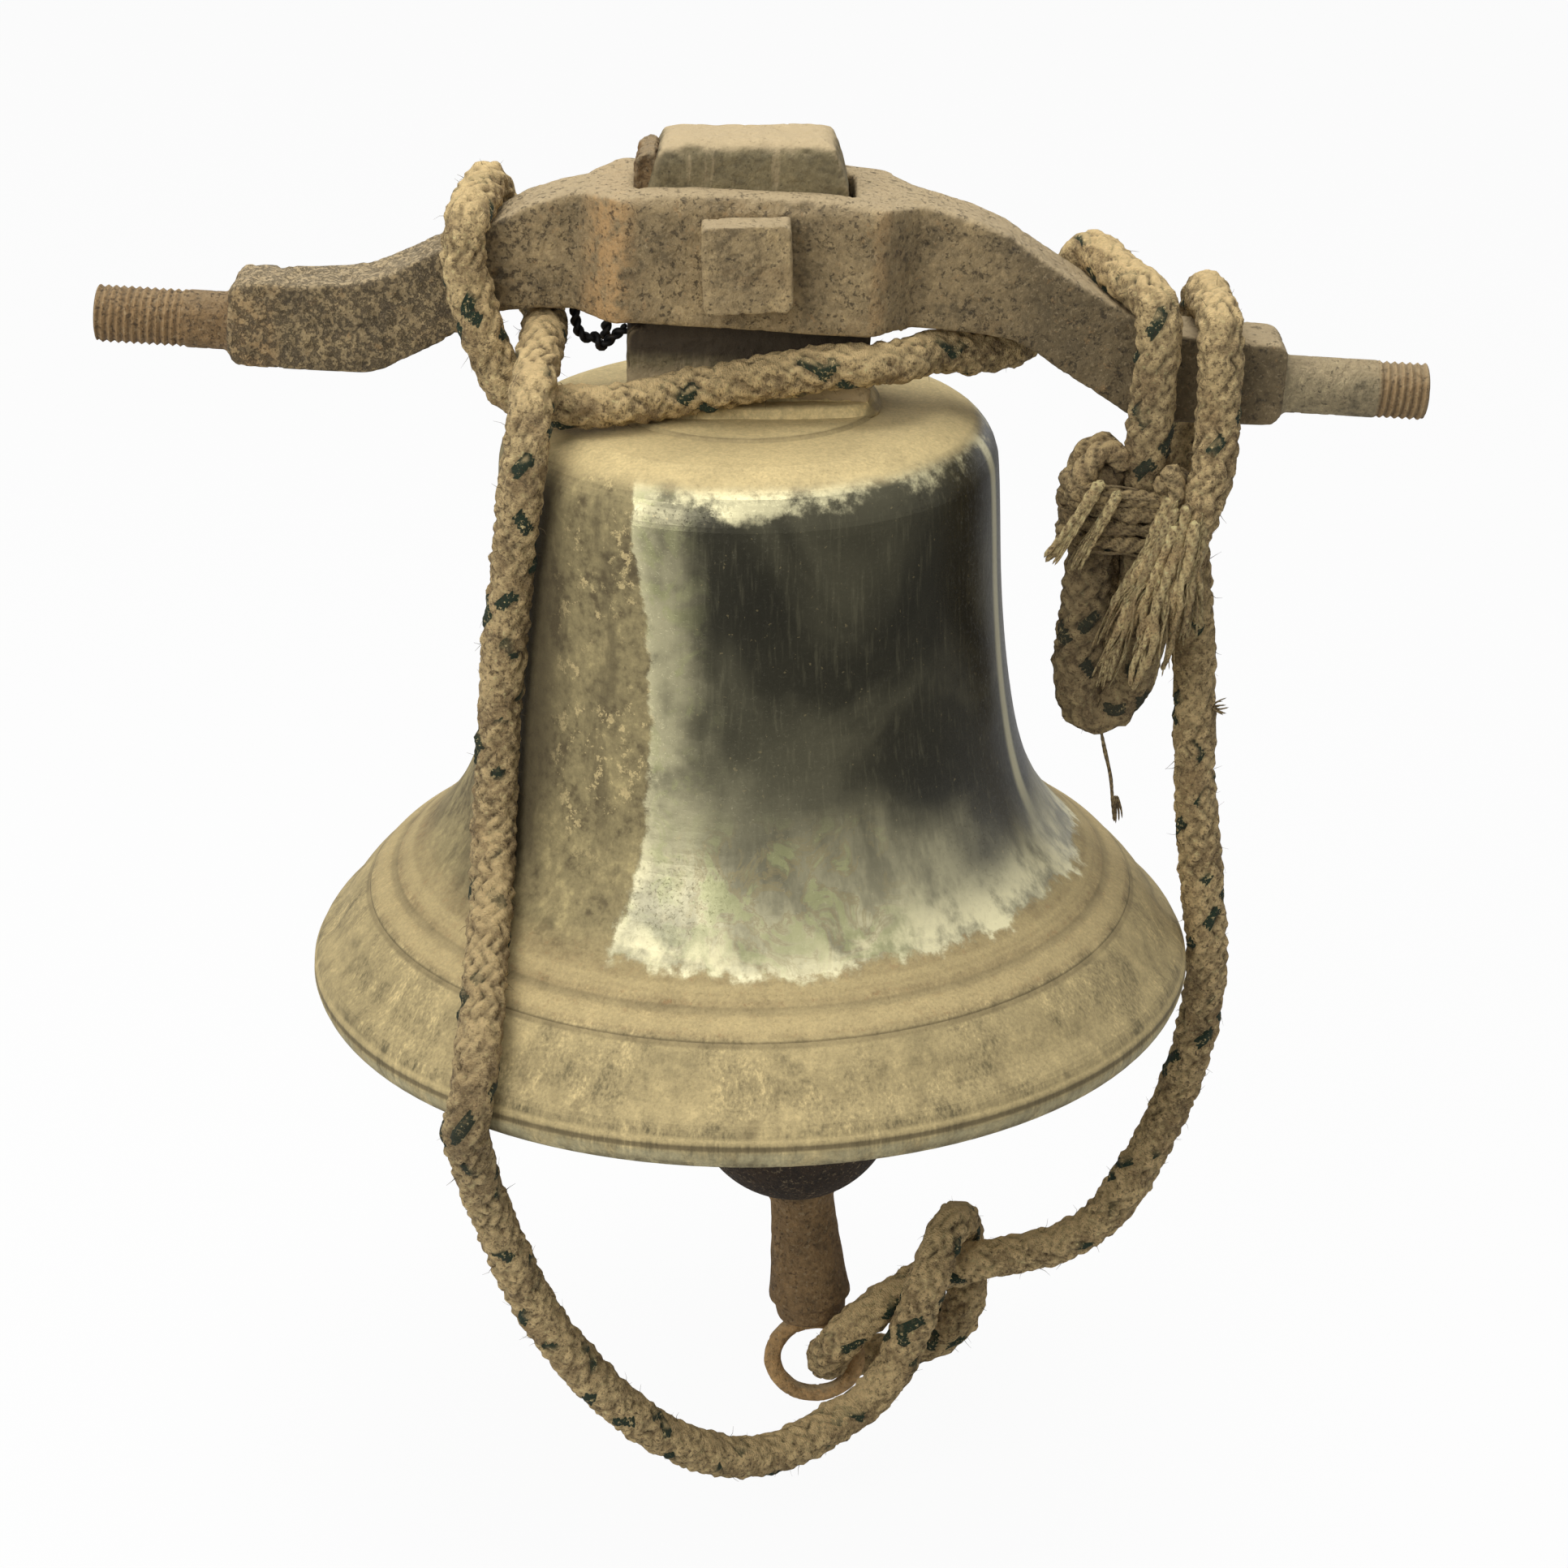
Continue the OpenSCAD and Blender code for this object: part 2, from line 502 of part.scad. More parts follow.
function unit(v) = v / norm(v);
function dir(P, i) = unit(P[min(i + 1, len(P) - 1)] - P[max(i - 1, 0)]);
function sides_of(P, u, i = 0, out = []) =
    i == len(P) ? out
    : let (t = dir(P, i), v = unit(u - (u * t) * t)) sides_of(P, v, i + 1, concat(out, [v]));
function ring_at(P, U, i, r, n) = let (w = cross(dir(P, i), U[i]))
    [for (k = [0:n - 1]) P[i] + r * (cos(k * 360 / n) * U[i] + sin(k * 360 / n) * w)];
// Tube of n sides from ring a to ring b of the line P, shorter by trim at both ends
module tube(P, U, a, b, r, n, trim = 0) {
    last = b - a;
    walls = [for (i = [0:last - 1]) for (k = [0:n - 1])
        let (p = i * n + k, q = i * n + (k + 1) % n) each [[p, p + n, q], [q, p + n, q + n]]];
    polyhedron(flat([for (i = [a:b]) let (back = (i == a ? trim : i == b ? -trim : 0) * dir(P, i))
            [for (q = ring_at(P, U, i, r, n)) q + back]]),
        concat([[for (k = [0:n - 1]) k]], walls, [[for (k = [n - 1:-1:0]) last * n + k]]), convexity = 8);
}
rope_sides = sides_of(rope, [0, 1, 0]);
module rope_piece(a, b, trim = 0) color(rope_tan)
    tube(rope, rope_sides, a, b, rope_d / 2, 8, trim);
module line(P, r) tube(P, sides_of(P, [0.3, 1, 0.2]), 0, len(P) - 1, r, 6);
module rope_frayed_end() rope_piece(0, turn_from);
module rope_turn_right() rope_piece(turn_from, fall_from);
module rope_fall_right() rope_piece(fall_from, sling_from);
module rope_sling_right() rope_piece(sling_from, knot_from);
// The knot swings with the clapper, so it stands just clear of the rope on both sides
module rope_knot() rope_piece(knot_from, left_from, 0.1);
module rope_sling_left() rope_piece(left_from, climb_from);
module rope_fall_left() rope_piece(climb_from, hitch_from);
module rope_turn_left() rope_piece(hitch_from, run_from);
module rope_crown_run() rope_piece(run_from, inner_from);
module rope_turn_inner() rope_piece(inner_from, eye_from);
module rope_eye() rope_piece(eye_from, rope_last);

// Seizing: cord wound round both legs of the eye, one unbroken tube
seize_steps = 24;
seize_top = [122.8, -19.1, -28];
seize_lean = 0.186;
leg_gap = 15.8;
seize_r = rope_d / 2 + cord_d / 2 + 0.5;
// Stadium round the two legs: t in loops, a straight run between two half circles
function seize_plan(t) =
    let (half = PI * seize_r, run = leg_gap, s = (t % 1) * 2 * (half + run))
    s < half ? [leg_gap / 2 + seize_r * sin(180 * s / half), -seize_r * cos(180 * s / half)]
    : s < half + run ? [leg_gap / 2 - (s - half), seize_r]
    : s < 2 * half + run ? [-leg_gap / 2 - seize_r * sin(180 * (s - half - run) / half),
        seize_r * cos(180 * (s - half - run) / half)]
    : [-leg_gap / 2 + (s - 2 * half - run), -seize_r];
function seize_at(t) = let (p = seize_plan(t), down = seize_pitch * t)
    seize_top + [p[0], p[1] + down * seize_lean, -down];
seize_line = [for (i = [0:seize_loops * seize_steps]) seize_at(i / seize_steps)];
seize_least = min([for (i = [0:len(seize_line) - 1]) for (j = [i + seize_steps / 2:1:len(seize_line) - 1])
    norm(seize_line[i] - seize_line[j])]) - cord_d;
echo(seizing_least_gap = seize_least);
module rope_seizing() color(cord_tan) line(seize_line, cord_d / 2);

// Loose yarns in front of the seizing, from its top loop down
tassel_r = 2.2;
tassel_y = seize_top[1] + seize_lean * seize_pitch - seize_r - cord_d / 2 - tassel_r;
module seizing_tassel() color(cord_tan) {
    line([[113.6, tassel_y, -27], [109.5, tassel_y + 0.2, -36], [104, tassel_y + 1, -47],
        [99.5, tassel_y + 2, -55]], tassel_r);
    line([[119.4, tassel_y, -30], [115.6, tassel_y + 0.6, -40], [111, tassel_y + 1.8, -50],
        [107.8, tassel_y + 2.4, -58]], 1.8);
}
module twine_end() color(cord_tan)
    line([[123.4, -12, -119.6], [126, -12, -129], [129, -12, -139], [130.6, -12, -148],
        [132, -12, -156]], 0.7);
wire_r = 1.6;
wire_top_z = 14;
module tie_wire() color(wire_black) {
    line([[-61.4, 5, wire_top_z], [-61, 5, 8], [-59.8, 5, 2.6], [-57, 5, 0], [-54.4, 4.4, 0.8],
        [-51.6, 4, -2.2], [-48.4, 5, 0.6], [-45.6, 5, 3], [-43.4, 5, 4.3]], wire_r);
    line([[-51, 8.4, -1.6], [-50.6, 7.6, 4], [-50, 6.6, 9], [-49.6, 6, wire_top_z + 0.3]], wire_r * 0.88);
}

yoke();
bell();
yoke_bolt();
yoke_bolt_nut();
tang_wedge();
clapper_staple();
staple_nut();
clapper_pin();
pin_washer();
pin_cotter();
clapper_arm();
clapper_ball();
clapper_tail();
pull_eye();
rope_frayed_end();
rope_turn_right();
rope_fall_right();
rope_sling_right();
rope_knot();
rope_sling_left();
rope_fall_left();
rope_turn_left();
rope_crown_run();
rope_turn_inner();
rope_eye();
rope_seizing();
seizing_tassel();
twine_end();
tie_wire();
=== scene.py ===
"""Looks of an old yoke bell and its pull rope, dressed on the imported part"""

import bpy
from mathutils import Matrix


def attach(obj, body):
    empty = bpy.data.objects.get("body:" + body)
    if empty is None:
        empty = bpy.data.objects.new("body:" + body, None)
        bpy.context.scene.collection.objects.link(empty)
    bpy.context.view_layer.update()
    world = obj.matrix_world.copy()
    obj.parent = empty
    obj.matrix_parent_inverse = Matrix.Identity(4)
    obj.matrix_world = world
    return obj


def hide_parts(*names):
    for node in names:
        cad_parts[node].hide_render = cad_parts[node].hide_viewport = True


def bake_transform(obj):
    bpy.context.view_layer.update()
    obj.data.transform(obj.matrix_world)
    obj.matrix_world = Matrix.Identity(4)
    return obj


bl_info = {
    "name": "Old yoke bell",
    "version": (1, 0, 0),
    "blender": (4, 5, 0),
    "location": "3D View > Sidebar > Yoke bell",
    "description": "Pull rope, rough castings, weathered finishes and studio of a bell on its yoke",
    "category": "Add Mesh",
}

import math
import random

import bmesh
import bpy
import numpy as np
from bpy.props import FloatProperty, FloatVectorProperty, IntProperty, PointerProperty
from mathutils import Matrix, Vector, noise

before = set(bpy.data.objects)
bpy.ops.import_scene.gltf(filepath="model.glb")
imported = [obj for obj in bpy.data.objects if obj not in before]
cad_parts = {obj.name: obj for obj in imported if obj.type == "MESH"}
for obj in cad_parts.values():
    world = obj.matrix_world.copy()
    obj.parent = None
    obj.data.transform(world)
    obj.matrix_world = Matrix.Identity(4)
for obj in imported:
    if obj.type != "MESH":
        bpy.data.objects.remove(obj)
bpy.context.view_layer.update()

MM = 0.001
BELL_BODY = "yoke_and_bell"
CLAPPER_BODY = "clapper"

# Photograph: the camera that the bell's circles give, in metres
CAMERA_AT = Vector((-0.01323, -1.1875, 0.35291))
CAMERA_RIGHT = Vector((0.9981, 0.0, 0.0616))
CAMERA_AHEAD = Vector((0.0242, 0.9194, -0.3925))
CAMERA_LENS = 85.71
SENSOR = 36.0

# Bell: the middle of its mouth, its lean from upright and the height of its crown
MOUTH_CENTRE = (0.010495, 0.0, -0.22301)
BELL_LEAN = math.radians(-3.5)
CROWN_HEIGHT = 206 * MM
ON_BELL = Matrix.Translation(MOUTH_CENTRE) @ Matrix.Rotation(BELL_LEAN, 4, "Y")

# Outside of the brim and soft ridges on it: height over the mouth and radius or lift, in mm
BELL_SIDE = [(0.5, 149.8), (1.7, 150.8), (3.7, 151.2), (7, 152.3), (9, 152.5), (14, 150.4),
             (20, 144.6), (24.5, 141.6), (29, 138.2), (33.6, 133.8), (38.3, 128.6), (42, 123.6),
             (45.5, 118.6), (50.5, 113.2), (56, 108.4)]
BAND_RIDGES = [(33.5, -0.5), (35, 0), (36, 0.9), (38, 1.4), (40, 1.3), (41.2, 0.5),
               (42.2, -0.2), (43.2, 0.5), (44.5, 1.4), (46.5, 1.8), (48.5, 1.2), (51, 0.4),
               (54, -0.5)]
LIP_RIDGES = [(1.5, -0.4), (2.5, 0.3), (4.5, 0.7), (6.5, 0.6), (7.6, 0.1), (8.6, -0.1),
              (10, 0.35), (13, -0.5)]

# Paint on the bell: angles in degrees to the right of the front, heights in mm over the mouth
PATCH_LEFT = -21.8
PATCH_RIGHT = 106
PATCH_LOW = 49
PATCH_TOP = 202
# Soft spots in the polished patch: angle, height, half width, half height, share and tone
PATCH_SPOTS = [(3, 165, 17, 24, 0.75, 0.6), (44, 96, 22, 30, 0.75, 0.6),
               (40, 150, 26, 34, 0.75, 0.6), (10, 112, 22, 26, 0.65, 3.4)]
OLIVE_SPOT = (6, 62, 17, 24)
# Painted reflection on the patch, a bright line: angle, half width and where it ends below
REFLECTED_LINE = (75, 3.4, 60)
# Ridges on the brim and on the lip, each with the groove under it: a painted highlight lies on each
# ridge and a painted shade line in each groove
BRIM_HIGHLIGHTS_AND_SHADES = [(39, 34.8), (46.5, 42.2)]
LIP_HIGHLIGHT_AND_SHADE = (10.5, 8.2)
# Radius of the dark ring painted on the crown, and the reach of the dark finish of the neck
CROWN_RING = 43.2 * MM
NECK_REACH = 50 * MM

# Dusty heap round the foot of the neck and raised disc under it, in mm: half width, half depth,
# height, share of the width at the top and how near the outline is to an ellipse
FOOT_FORMS = [(43.5, 23.0, 5.0, 0.88, 0.45), (44.5, 44.5, 1.3, 0.96, 1.0)]

# Rusty edges on the yoke: place along it, half width and strength
RUSTY_EDGES = [(-0.05, 0.011, 1), (0.037, 0.004, 0.4), (-0.165, 0.012, 0.5)]

# Journals
JOURNAL_R = 9.5 * MM
BLOCK_FACE = 173 * MM
THREAD_PITCH = 2.54 * MM
THREAD_DEPTH = 0.9 * MM

# Planes that trim the rough copies of the yoke and of the bell, whose neck alone is kept
BLOCK_CUT = 173.4 * MM
CUTS = {
    "yoke": [((-BLOCK_CUT, 0, 0), (-1, 0, 0)), ((BLOCK_CUT, 0, 0), (1, 0, 0))],
    "bell": [((0, 0, -0.0105), (0, 0, -1))],
}

# Pull rope, from its frayed end over the right arm, down to the clapper and back up to its eye
ROPE = [
    (0.1425, -0.032, -0.056), (0.144, -0.0315, -0.0437),
    (0.1499, -0.0283, -0.025), (0.1505, -0.022, -0.004), (0.1493, -0.0215, 0.014),
    (0.1486, -0.0175, 0.0255), (0.148, 0, 0.0285), (0.1472, 0.0175, 0.0255),
    (0.1473, 0.0215, 0.012), (0.1482, 0.021, -0.013), (0.1465, 0.014, -0.026),
    (0.1462, 0.005, -0.043), (0.1506, 0.003, -0.0675), (0.1556, 0.001, -0.106),
    (0.1602, 0, -0.147), (0.1668, 0, -0.186), (0.171, 0, -0.212),
    (0.1703, 0, -0.241), (0.164, 0, -0.272), (0.148, -0.004, -0.309),
    (0.1303, -0.006, -0.3257), (0.1128, -0.006, -0.332),
    (0.089, -0.005, -0.34), (0.0745, -0.009, -0.3475), (0.0605, -0.016, -0.3552),
    (0.0525, -0.0185, -0.363), (0.0485, -0.0135, -0.3735), (0.0482, -0.006, -0.3805),
    (0.0484, 0.003, -0.3844), (0.051, 0.0105, -0.3886), (0.06, 0.0136, -0.391),
    (0.076, 0.0125, -0.3856), (0.091, 0.009, -0.3755), (0.0978, 0.009, -0.362),
    (0.097, 0.011, -0.345), (0.094, 0.006, -0.3275), (0.091, -0.004, -0.3205),
    (0.0865, -0.014, -0.3205), (0.0815, -0.0225, -0.334), (0.0765, -0.0243, -0.354),
    (0.0695, -0.026, -0.374),
    (0.055, -0.033, -0.387), (0.0223, -0.055, -0.3923), (-0.0145, -0.078, -0.368),
    (-0.0506, -0.1, -0.317), (-0.071, -0.114, -0.266), (-0.0797, -0.1315, -0.2275),
    (-0.0792, -0.135, -0.219), (-0.0773, -0.1254, -0.202), (-0.0769, -0.1042, -0.1828),
    (-0.0772, -0.0768, -0.166), (-0.0781, -0.0588, -0.1452), (-0.078, -0.0508, -0.11),
    (-0.076, -0.0526, -0.068), (-0.0737, -0.058, -0.036), (-0.072, -0.0555, -0.016),
    (-0.0712, -0.046, -0.0031), (-0.0706, -0.026, 0.003), (-0.0702, -0.002, 0.0051),
    (-0.0715, 0.014, 0.0032), (-0.0765, 0.0215, 0.0115), (-0.085, 0.0215, 0.029),
    (-0.0915, 0.0184, 0.0467), (-0.0938, 0, 0.0495), (-0.096, -0.0185, 0.0445),
    (-0.096, -0.0215, 0.03), (-0.09, -0.0215, 0.009), (-0.083, -0.0205, -0.007),
    (-0.0745, -0.022, -0.0138),
    (-0.063, -0.031, -0.0128), (-0.044, -0.0303, -0.0113), (-0.024, -0.0248, -0.0078),
    (0.0173, -0.0246, 0.0024), (0.034, -0.0246, 0.005), (0.0475, -0.018, 0.0054),
    (0.0573, -0.006, 0.0055), (0.0826, 0.0144, 0.0024),
    (0.0912, 0.022, 0.0087), (0.099, 0.0215, 0.02), (0.108, 0.0186, 0.0362),
    (0.118, 0, 0.0355), (0.127, -0.017, 0.03), (0.1287, -0.0215, 0.017),
    (0.1286, -0.0218, -0.007), (0.1292, -0.02, -0.0235),
    (0.131, -0.0145, -0.053), (0.135, -0.012, -0.08), (0.1336, -0.012, -0.101),
    (0.1275, -0.012, -0.1135), (0.119, -0.012, -0.1155), (0.1138, -0.012, -0.104),
    (0.1143, -0.013, -0.078), (0.1147, -0.0156, -0.047), (0.1148, -0.0196, -0.024),
]
ROPE_NODES = [
    "rope_turn_right", "rope_fall_right", "rope_sling_right", "rope_knot", "rope_sling_left",
    "rope_fall_left", "rope_turn_left", "rope_crown_run", "rope_turn_inner", "rope_eye",
]
# Where the rope presses on the yoke's arms: place along the yoke, least height, depth of the dip
PRESSED = [(-0.0938, 0.03, 3.4 * MM), (0.118, 0.018, 3 * MM), (0.148, 0.012, 3.6 * MM)]
# Grime along the rope, with painted shade on its left fall at points 45 to 53: number of a point in
# ROPE and how dark the rope is there
GRIME_AND_SHADE = [(0, 0.1), (9, 0.25), (14, 0.1), (20, 0.0), (27, 0.05), (34, 0.1), (42, 0.0),
         (45, 0.15), (47, 0.5), (50, 0.4), (53, 0.1), (58, 0.3), (64, 0.0), (74, 0.2),
         (79, 0.1), (82, 0.3), (85, 0.75), (92, 0.75)]

# Share of the rope's length at which the last leg of its eye begins
LAST_LEG = 0.962

# Seizing that binds the two legs of the eye
SEIZING_TOP = np.array((0.1228, -0.0191, -0.028))
SEIZING_LEAN = 0.186
LEG_GAP = 15.8 * MM
SEIZING_REACH = 10.3 * MM
SEIZING_PITCH = 5.7 * MM
SEIZING_LOOPS = 4.5
SEIZING_CORD = 5 * MM

# Cords that close the top of the seizing: points and half thickness
SEIZING_CAP = [
    ([(0.1075, -0.024, -0.037), (0.1085, -0.0245, -0.028), (0.113, -0.0235, -0.0205),
      (0.1185, -0.0225, -0.0205), (0.1225, -0.0225, -0.026)], 5 * MM),
    ([(0.1065, -0.014, -0.034), (0.1095, -0.014, -0.0235), (0.1155, -0.0135, -0.0195),
      (0.1205, -0.0125, -0.025)], 4.2 * MM),
    ([(0.1345, -0.03, -0.021), (0.1385, -0.0315, -0.0285), (0.1375, -0.0325, -0.0365)], 3.2 * MM),
]

# Matted yarns that hang inside the eye: points and half thickness
EYE_YARNS = [
    ([(0.1215, -0.013, -0.052), (0.1222, -0.012, -0.068), (0.1225, -0.011, -0.084),
      (0.122, -0.011, -0.11)], 3.2 * MM),
    ([(0.1265, -0.012, -0.052), (0.127, -0.01, -0.07), (0.1265, -0.01, -0.09),
      (0.1245, -0.01, -0.112)], 3.2 * MM),
    ([(0.119, -0.012, -0.07), (0.1185, -0.012, -0.088), (0.1195, -0.0125, -0.108)], 2.2 * MM),
]

# Locks of the tassel: points and half thickness
TASSEL = [
    ([(0.1136, -0.033, -0.027), (0.1095, -0.0328, -0.036), (0.104, -0.032, -0.047),
      (0.0995, -0.031, -0.055)], 2.2 * MM),
    ([(0.1194, -0.033, -0.03), (0.1156, -0.0324, -0.04), (0.111, -0.0312, -0.05),
      (0.1078, -0.0306, -0.058)], 1.8 * MM),
]
# Thin end of twine, middle of the tuft, and fringe of the frayed end
TWINE = [(0.1234, -0.012, -0.1196), (0.126, -0.012, -0.129), (0.129, -0.012, -0.139),
         (0.1306, -0.012, -0.148), (0.132, -0.012, -0.156)]
TUFT_AT = (0.1618, -0.002, -0.1155)
FRINGE_TOP = Vector((0.1415, -0.033, -0.046))
FRINGE_TIPS = [(0.1165, -0.029, -0.09), (0.121, -0.033, -0.099), (0.127, -0.037, -0.099),
               (0.132, -0.039, -0.095), (0.138, -0.04, -0.091), (0.144, -0.038, -0.085),
               (0.149, -0.035, -0.079), (0.1525, -0.032, -0.074)]
# Wires under the yoke, then the half thickness of a strand, its reach and its lead
TIE_WIRES = [
    [(-0.0614, 0.005, 0.014), (-0.061, 0.005, 0.008), (-0.0598, 0.005, 0.0026),
     (-0.057, 0.005, 0), (-0.0544, 0.0044, 0.0008), (-0.0516, 0.004, -0.0022),
     (-0.0484, 0.005, 0.0006), (-0.0456, 0.005, 0.003), (-0.0434, 0.005, 0.0043)],
    [(-0.051, 0.0084, -0.0016), (-0.0506, 0.0076, 0.004), (-0.05, 0.0066, 0.009),
     (-0.0496, 0.006, 0.0143)],
]
WIRE_R = 1.0 * MM
WIRE_TWIST = 0.9 * MM
WIRE_LEAD = 7 * MM

FLOOR_HEIGHT = -0.425


# Settings


def colour(name, words, value):
    """A colour setting"""
    return FloatVectorProperty(name=name, description=words, default=value, size=3,
                               min=0, max=1, subtype="COLOR")


def length(name, words, value, low, high):
    """A length setting, in metres"""
    return FloatProperty(name=name, description=words, default=value, min=low, max=high,
                         unit="LENGTH")


def share(name, words, value):
    """A setting from 0 to 1"""
    return FloatProperty(name=name, description=words, default=value, min=0, max=1,
                         subtype="FACTOR")


class RopeSettings(bpy.types.PropertyGroup):
    """Size, braid and colours of the pull rope"""
    diameter: length("Diameter", "Thickness of the pull rope", 0.0146, 0.008, 0.024)
    strands: IntProperty(name="Strands each way", default=8, min=4, max=12,
                         description="Strands that run each way round the braid")
    pick: length("Pick", "Length of rope that a strand crosses at once", 0.0058, 0.003, 0.012)
    depth: length("Strand depth", "Height of a strand over the gaps beside it", 0.0019, 0, 0.003)
    mud: colour("Mud", "Dried mud on the strands", (0.76, 0.56, 0.27))
    yarn: colour("Yarn", "Yarn that shows through the mud", (0.42, 0.29, 0.135))
    # Dirt between the strands, also the painted shade in the gaps and crevices
    gap: colour("Gaps", "Dirt between the strands", (0.045, 0.029, 0.012))
    tracer: colour("Tracer", "Green yarn in the braid", (0.012, 0.034, 0.014))
    fibres: IntProperty(name="Fibres", default=900, min=0, max=4000,
                        description="Short loose fibres that stand off the rope")


class BronzeSettings(bpy.types.PropertyGroup):
    """Colours of the bell"""
    # Also the colour of the painted highlights on the brim's ridges
    dust: colour("Dust", "Dust on the crown and the brim", (0.54, 0.425, 0.205))
    tan: colour("Patina", "Khaki patina of the brim and the side", (0.29, 0.235, 0.11))
    # Also the colour of painted shade: the rope's shadow, the neck under the yoke and the grooves
    brown: colour("Brown patina", "Darker patina and stains", (0.11, 0.082, 0.036))
    # The dark colour of the polished patch is a painted reflection of dark surroundings
    polished: colour("Polished metal", "Dark polished patch", (0.036, 0.033, 0.02))
    # Also the colour of the painted highlights and the painted reflection on the patch
    bright: colour("Bright metal", "Pale bright metal round the patch", (0.64, 0.585, 0.35))
    verdigris: colour("Verdigris", "Green bloom in the patch and at the rim", (0.34, 0.35, 0.15))
    rust: colour("Rust stain", "Rusty specks in the grooves", (0.27, 0.13, 0.045))


class IronSettings(bpy.types.PropertyGroup):
    """Colours and skin of the iron castings"""
    iron: colour("Iron", "Grey brown skin of the castings", (0.30, 0.22, 0.11))
    # Dark of the pits, also used for the painted shade on the tang under the yoke
    pit_and_shade: colour("Pits", "Dark of the pits", (0.06, 0.038, 0.018))
    rust: colour("Rust", "Orange rust", (0.38, 0.235, 0.10))
    dust: colour("Dust", "Tan dust on the upper faces", (0.50, 0.385, 0.22))
    clapper: colour("Clapper", "Dark brown iron of the clapper", (0.032, 0.018, 0.008))
    tang: colour("Tang", "Olive brown skin of the bell's tang", (0.20, 0.16, 0.08))
    worn: colour("Worn iron", "Pale worn iron of the right journal", (0.33, 0.265, 0.15))
    wire: colour("Wire", "Black wire under the yoke", (0.012, 0.012, 0.012))
    pit_depth: length("Pit depth", "Depth of the larger pits", 0.0011, 0, 0.003)


class StageSettings(bpy.types.PropertyGroup):
    """Floor and lamps"""
    floor: colour("Floor", "Plain pale floor", (0.72, 0.72, 0.72))
    overhead: FloatProperty(name="Overhead lamp", default=17.0, min=0, max=100,
                            description="Power of the soft lamp above", unit="POWER")
    front: FloatProperty(name="Front lamp", default=15.0, min=0, max=100,
                         description="Power of the soft lamp at the upper left front",
                         unit="POWER")
    sky: share("Sky", "Strength of the even light from all round", 0.35)


# Meshes


def smooth_line(points, step):
    """Even points, a step apart, on the rounded line through the given ones"""
    p = np.array(points, float)
    p = np.vstack([2 * p[0] - p[1], p, 2 * p[-1] - p[-2]])
    t = np.linspace(0, 1, 12, endpoint=False)[:, None]
    parts = []
    for a, b, c, d in zip(p, p[1:], p[2:], p[3:]):
        parts.append(0.5 * (2 * b + (c - a) * t + (2 * a - 5 * b + 4 * c - d) * t ** 2
                            + (3 * b - a - 3 * c + d) * t ** 3))
    dense = np.vstack(parts + [p[-2:-1]])
    run = travelled(dense)
    marks = np.linspace(0, run[-1], max(round(run[-1] / step), 3) + 1)
    return np.column_stack([np.interp(marks, run, dense[:, k]) for k in range(3)])


def travelled(line):
    """Distance from the start of a line to each of its points"""
    steps = np.linalg.norm(np.diff(line, axis=0), axis=1)
    return np.concatenate([[0], np.cumsum(steps)])


def relaxed(line, rounds):
    """The line with small kinks evened out and its ends kept"""
    line = line.copy()
    for _ in range(rounds):
        line[1:-1] = (line[:-2] + 2 * line[1:-1] + line[2:]) / 4
    return line


def directions(line):
    """Unit direction along the line at each point, and two sides that don't twist"""
    ahead = np.gradient(line, axis=0)
    ahead /= np.linalg.norm(ahead, axis=1)[:, None]
    side = np.zeros_like(ahead)
    last = np.array((0.05, 1.0, 0.12))
    for k, t in enumerate(ahead):
        last = last - t * (last @ t)
        last = last / np.linalg.norm(last)
        side[k] = last
    return ahead, side, np.cross(ahead, side)


def turns(sides):
    """Angles round a tube, of which the last closes it"""
    turn = np.linspace(0, 2 * math.pi, sides + 1)
    turn[-1] = 0
    return turn


def round_line(line, turn):
    """Unit direction outwards from the line, for each of its points and each angle"""
    _, side, other = directions(line)
    return side[:, None] * np.cos(turn)[None, :, None] + other[:, None] * np.sin(turn)[None, :, None]


def unevenness(points, size, shift=0.0):
    """Smooth noise from -1 to 1 at each point, with lumps of about the given size"""
    flat = points.reshape(-1, 3) / size + shift
    values = [noise.noise(Vector(p)) for p in flat]
    return np.array(values).reshape(points.shape[:-1])


def mesh_of(bm, name):
    """The mesh of that name made of the bmesh, which is freed"""
    mesh = bpy.data.meshes.new(name)
    bm.to_mesh(mesh)
    bm.free()
    return mesh


def rows_of(mesh, key):
    """One row of three numbers for each vertex: its place or its normal"""
    flat = np.zeros(len(mesh.vertices) * 3)
    mesh.vertices.foreach_get(key, flat)
    return flat.reshape(-1, 3)


def tube_mesh(name, line, radius, sides, marks):
    """Closed tube round a line. radius is one row of numbers for each ring, or one number
    for each ring; marks holds the values that the material reads, one table for each name."""
    rings = len(line)
    radius = np.asarray(radius, float)
    radius = np.broadcast_to(radius.reshape(rings, -1), (rings, sides + 1))
    places = line[:, None] + round_line(line, turns(sides)) * radius[..., None]
    bm = bmesh.new()
    bmesh.ops.create_grid(bm, x_segments=rings - 1, y_segments=sides, size=0.5)
    mesh = mesh_of(bm, name)
    flat = rows_of(mesh, "co")
    ring = np.rint((flat[:, 0] + 0.5) * (rings - 1)).astype(int)
    step = np.rint((flat[:, 1] + 0.5) * sides).astype(int)
    mesh.vertices.foreach_set("co", places[ring, step].ravel())
    run = travelled(line)
    corner = np.zeros(len(mesh.loops), int)
    mesh.loops.foreach_get("vertex_index", corner)
    uv = np.column_stack([run[ring], step / sides])[corner]
    mesh.uv_layers.new(name="UVMap").data.foreach_set("uv", uv.ravel())
    for key in ("relief", "tracer", "grime"):
        values = np.broadcast_to(marks.get(key, 0.0), (rings, sides + 1))
        layer = mesh.attributes.new(key, "FLOAT", "POINT")
        layer.data.foreach_set("value", values[ring, step].ravel())
    return closed(mesh)


